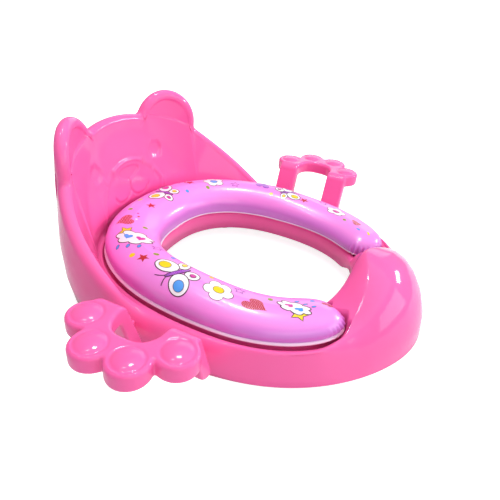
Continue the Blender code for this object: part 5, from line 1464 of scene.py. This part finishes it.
# Bosses that hold the grip pads, under the floor: each is a ring turned round its bore
boss_profile = ((BOSS_RADIUS, RECESS_FLOOR - SHELL_WALL / 2),
                (BOSS_RADIUS, BOSS_FOOT + BOSS_BEVEL), (BOSS_RADIUS - BOSS_BEVEL, BOSS_FOOT),
                (BORE_RADIUS, BOSS_FOOT), (BORE_RADIUS, BORE_TOP))
boss_points, boss_faces = [], []
t = np.linspace(0, 2 * math.pi, 40, endpoint=False)
for degrees in [value for angle in PAD_ANGLES for value in (angle, 180.0 - angle)]:
    angle = math.radians(degrees)
    reach = (float(on_ring(angle, OPENING)) + BEAD_WIDTH + float(recess_edge(angle))) / 2
    middle_x, middle_y = math.cos(angle) * reach, math.sin(angle) * reach
    boss_faces.extend((loop_faces(len(boss_profile), len(t))[:, ::-1] + len(boss_points)).tolist())
    for radius, z in boss_profile:
        boss_points.extend(np.stack([middle_x + radius * np.cos(t),
                                     middle_y + radius * np.sin(t), 0 * t + z], 1))
BOSSES = grid_object("pad_bosses", boss_points, boss_faces, PINK, "seat", smooth_angle=40)

# Floor and backdrop: white to the camera, with the object's soft shadow
def pale(name, colour, glow):
    """Matt white that adds light of its own for the camera, and a third of it in reflections."""
    mat = bpy.data.materials.new(name)
    mat.use_nodes = True
    mat.node_tree.nodes.clear()
    rays = node(mat, "ShaderNodeLightPath")
    bent = node(mat, "ShaderNodeMath",
                {0: rays.outputs["Is Glossy Ray"], 1: rays.outputs["Is Transmission Ray"]},
                operation="MAXIMUM")
    seen = node(mat, "ShaderNodeMath",
                {0: bent.outputs[0], 1: 0.35, 2: rays.outputs["Is Camera Ray"]},
                operation="MULTIPLY_ADD")
    power = node(mat, "ShaderNodeMath", {0: seen.outputs[0], 1: glow}, operation="MULTIPLY")
    matt = node(mat, "ShaderNodeBsdfDiffuse", {"Color": hex_colour(colour)})
    light = node(mat, "ShaderNodeEmission", {"Color": (1.0, 1.0, 1.0, 1.0),
                                             "Strength": power.outputs[0]})
    both = node(mat, "ShaderNodeAddShader", {0: matt.outputs[0], 1: light.outputs[0]})
    node(mat, "ShaderNodeOutputMaterial", {"Surface": both.outputs[0]})
    return mat


floor_mesh = bpy.data.meshes.new("floor")
floor_mesh.from_pydata([(-12, -12, 0), (12, -12, 0), (12, 12, 0), (-12, 12, 0)], [], [(0, 1, 2, 3)])
floor_mesh.materials.append(pale("white studio paper", "D2D2D2", 0.84))
FLOOR = bpy.data.objects.new("floor", floor_mesh)
bpy.context.scene.collection.objects.link(FLOOR)

# World: white, at full strength for the camera and at a third for the light it sheds
world = bpy.data.worlds.new("white studio")
bpy.context.scene.world = world
world.use_nodes = True
background = world.node_tree.nodes["Background"]
background.inputs["Color"].default_value = (1.0, 1.0, 1.0, 1.0)
world_rays = node(world, "ShaderNodeLightPath")
world_power = node(world, "ShaderNodeMapRange",
                   {"To Min": 0.3, "To Max": 1.0, "Value": world_rays.outputs["Is Camera Ray"]})
world.node_tree.links.new(world_power.outputs["Result"], background.inputs["Strength"])

# Lamps: name, place, point they look at, width, height and watts
SEAT_MIDDLE = (0.0, 0.0, 0.05)
for name, place, target, width, height, power in (
        ("scrim overhead", (0.0, -0.3, 1.6), SEAT_MIDDLE, 2.2, 2.2, 13.0),
        ("key above", (0.2, 0.13, 1.27), SEAT_MIDDLE, 0.2, 0.15, 6.0),
        ("key beside", (-0.2, 0.3, 1.3), SEAT_MIDDLE, 0.12, 0.2, 1.5),
        ("sheen behind", (1.6, 0.35, 0.7), SEAT_MIDDLE, 1.5, 0.8, 5.0),
        ("fill at the camera", (-1.0, -1.1, 0.5), SEAT_MIDDLE, 1.4, 0.8, 6.5),
        ("front right", (0.3, -1.3, 0.5), SEAT_MIDDLE, 0.9, 0.6, 5.0),
        ("streak along the rim", (1.15, -0.95, 0.66), (0.0, -0.1, 0.04), 0.3, 0.14, 6.0)):
    lamp = bpy.data.lights.new(name, "AREA")
    lamp.shape = "RECTANGLE"
    lamp.size, lamp.size_y = width, height
    lamp.energy = power
    lamp.spread = math.pi
    obj = bpy.data.objects.new(name, lamp)
    bpy.context.scene.collection.objects.link(obj)
    obj.location = place
    obj.rotation_euler = (Vector(target) - Vector(place)).to_track_quat("-Z", "Y").to_euler()

# Camera: solved from the photograph
PHOTO_SIDE = 500             # pixels
FOCAL_LENGTH = 472.45        # pixels
AXIS_ACROSS = 255.52         # pixels from the left; the camera looks along here
AXIS_DOWN = 250.81           # pixels from the top
SENSOR_WIDTH = 36.0          # mm
CAMERA_PLACE = (-0.32988, -0.14567, 0.24964)
azimuth, elevation, roll = math.radians(-66.78), math.radians(31.26), math.radians(5.3)
back = Vector((math.sin(azimuth) * math.cos(elevation), -math.cos(azimuth) * math.cos(elevation),
               math.sin(elevation)))
level = Vector((math.cos(azimuth), math.sin(azimuth), 0.0))
upright = back.cross(level)
right = level * math.cos(roll) + upright * math.sin(roll)
up = upright * math.cos(roll) - level * math.sin(roll)
camera_data = bpy.data.cameras.new("camera")
camera_data.sensor_width = SENSOR_WIDTH
camera_data.lens = FOCAL_LENGTH / PHOTO_SIDE * SENSOR_WIDTH
camera_data.shift_x = (PHOTO_SIDE / 2 - AXIS_ACROSS) / PHOTO_SIDE
camera_data.shift_y = (AXIS_DOWN - PHOTO_SIDE / 2) / PHOTO_SIDE
camera_data.clip_start = 0.01
camera = bpy.data.objects.new("camera", camera_data)
bpy.context.scene.collection.objects.link(camera)
camera.matrix_world = Matrix([(right[axis], up[axis], back[axis], CAMERA_PLACE[axis])
                              for axis in range(3)] + [(0, 0, 0, 1)])
bpy.context.scene.camera = camera
bpy.context.scene.view_settings.view_transform = "Standard"
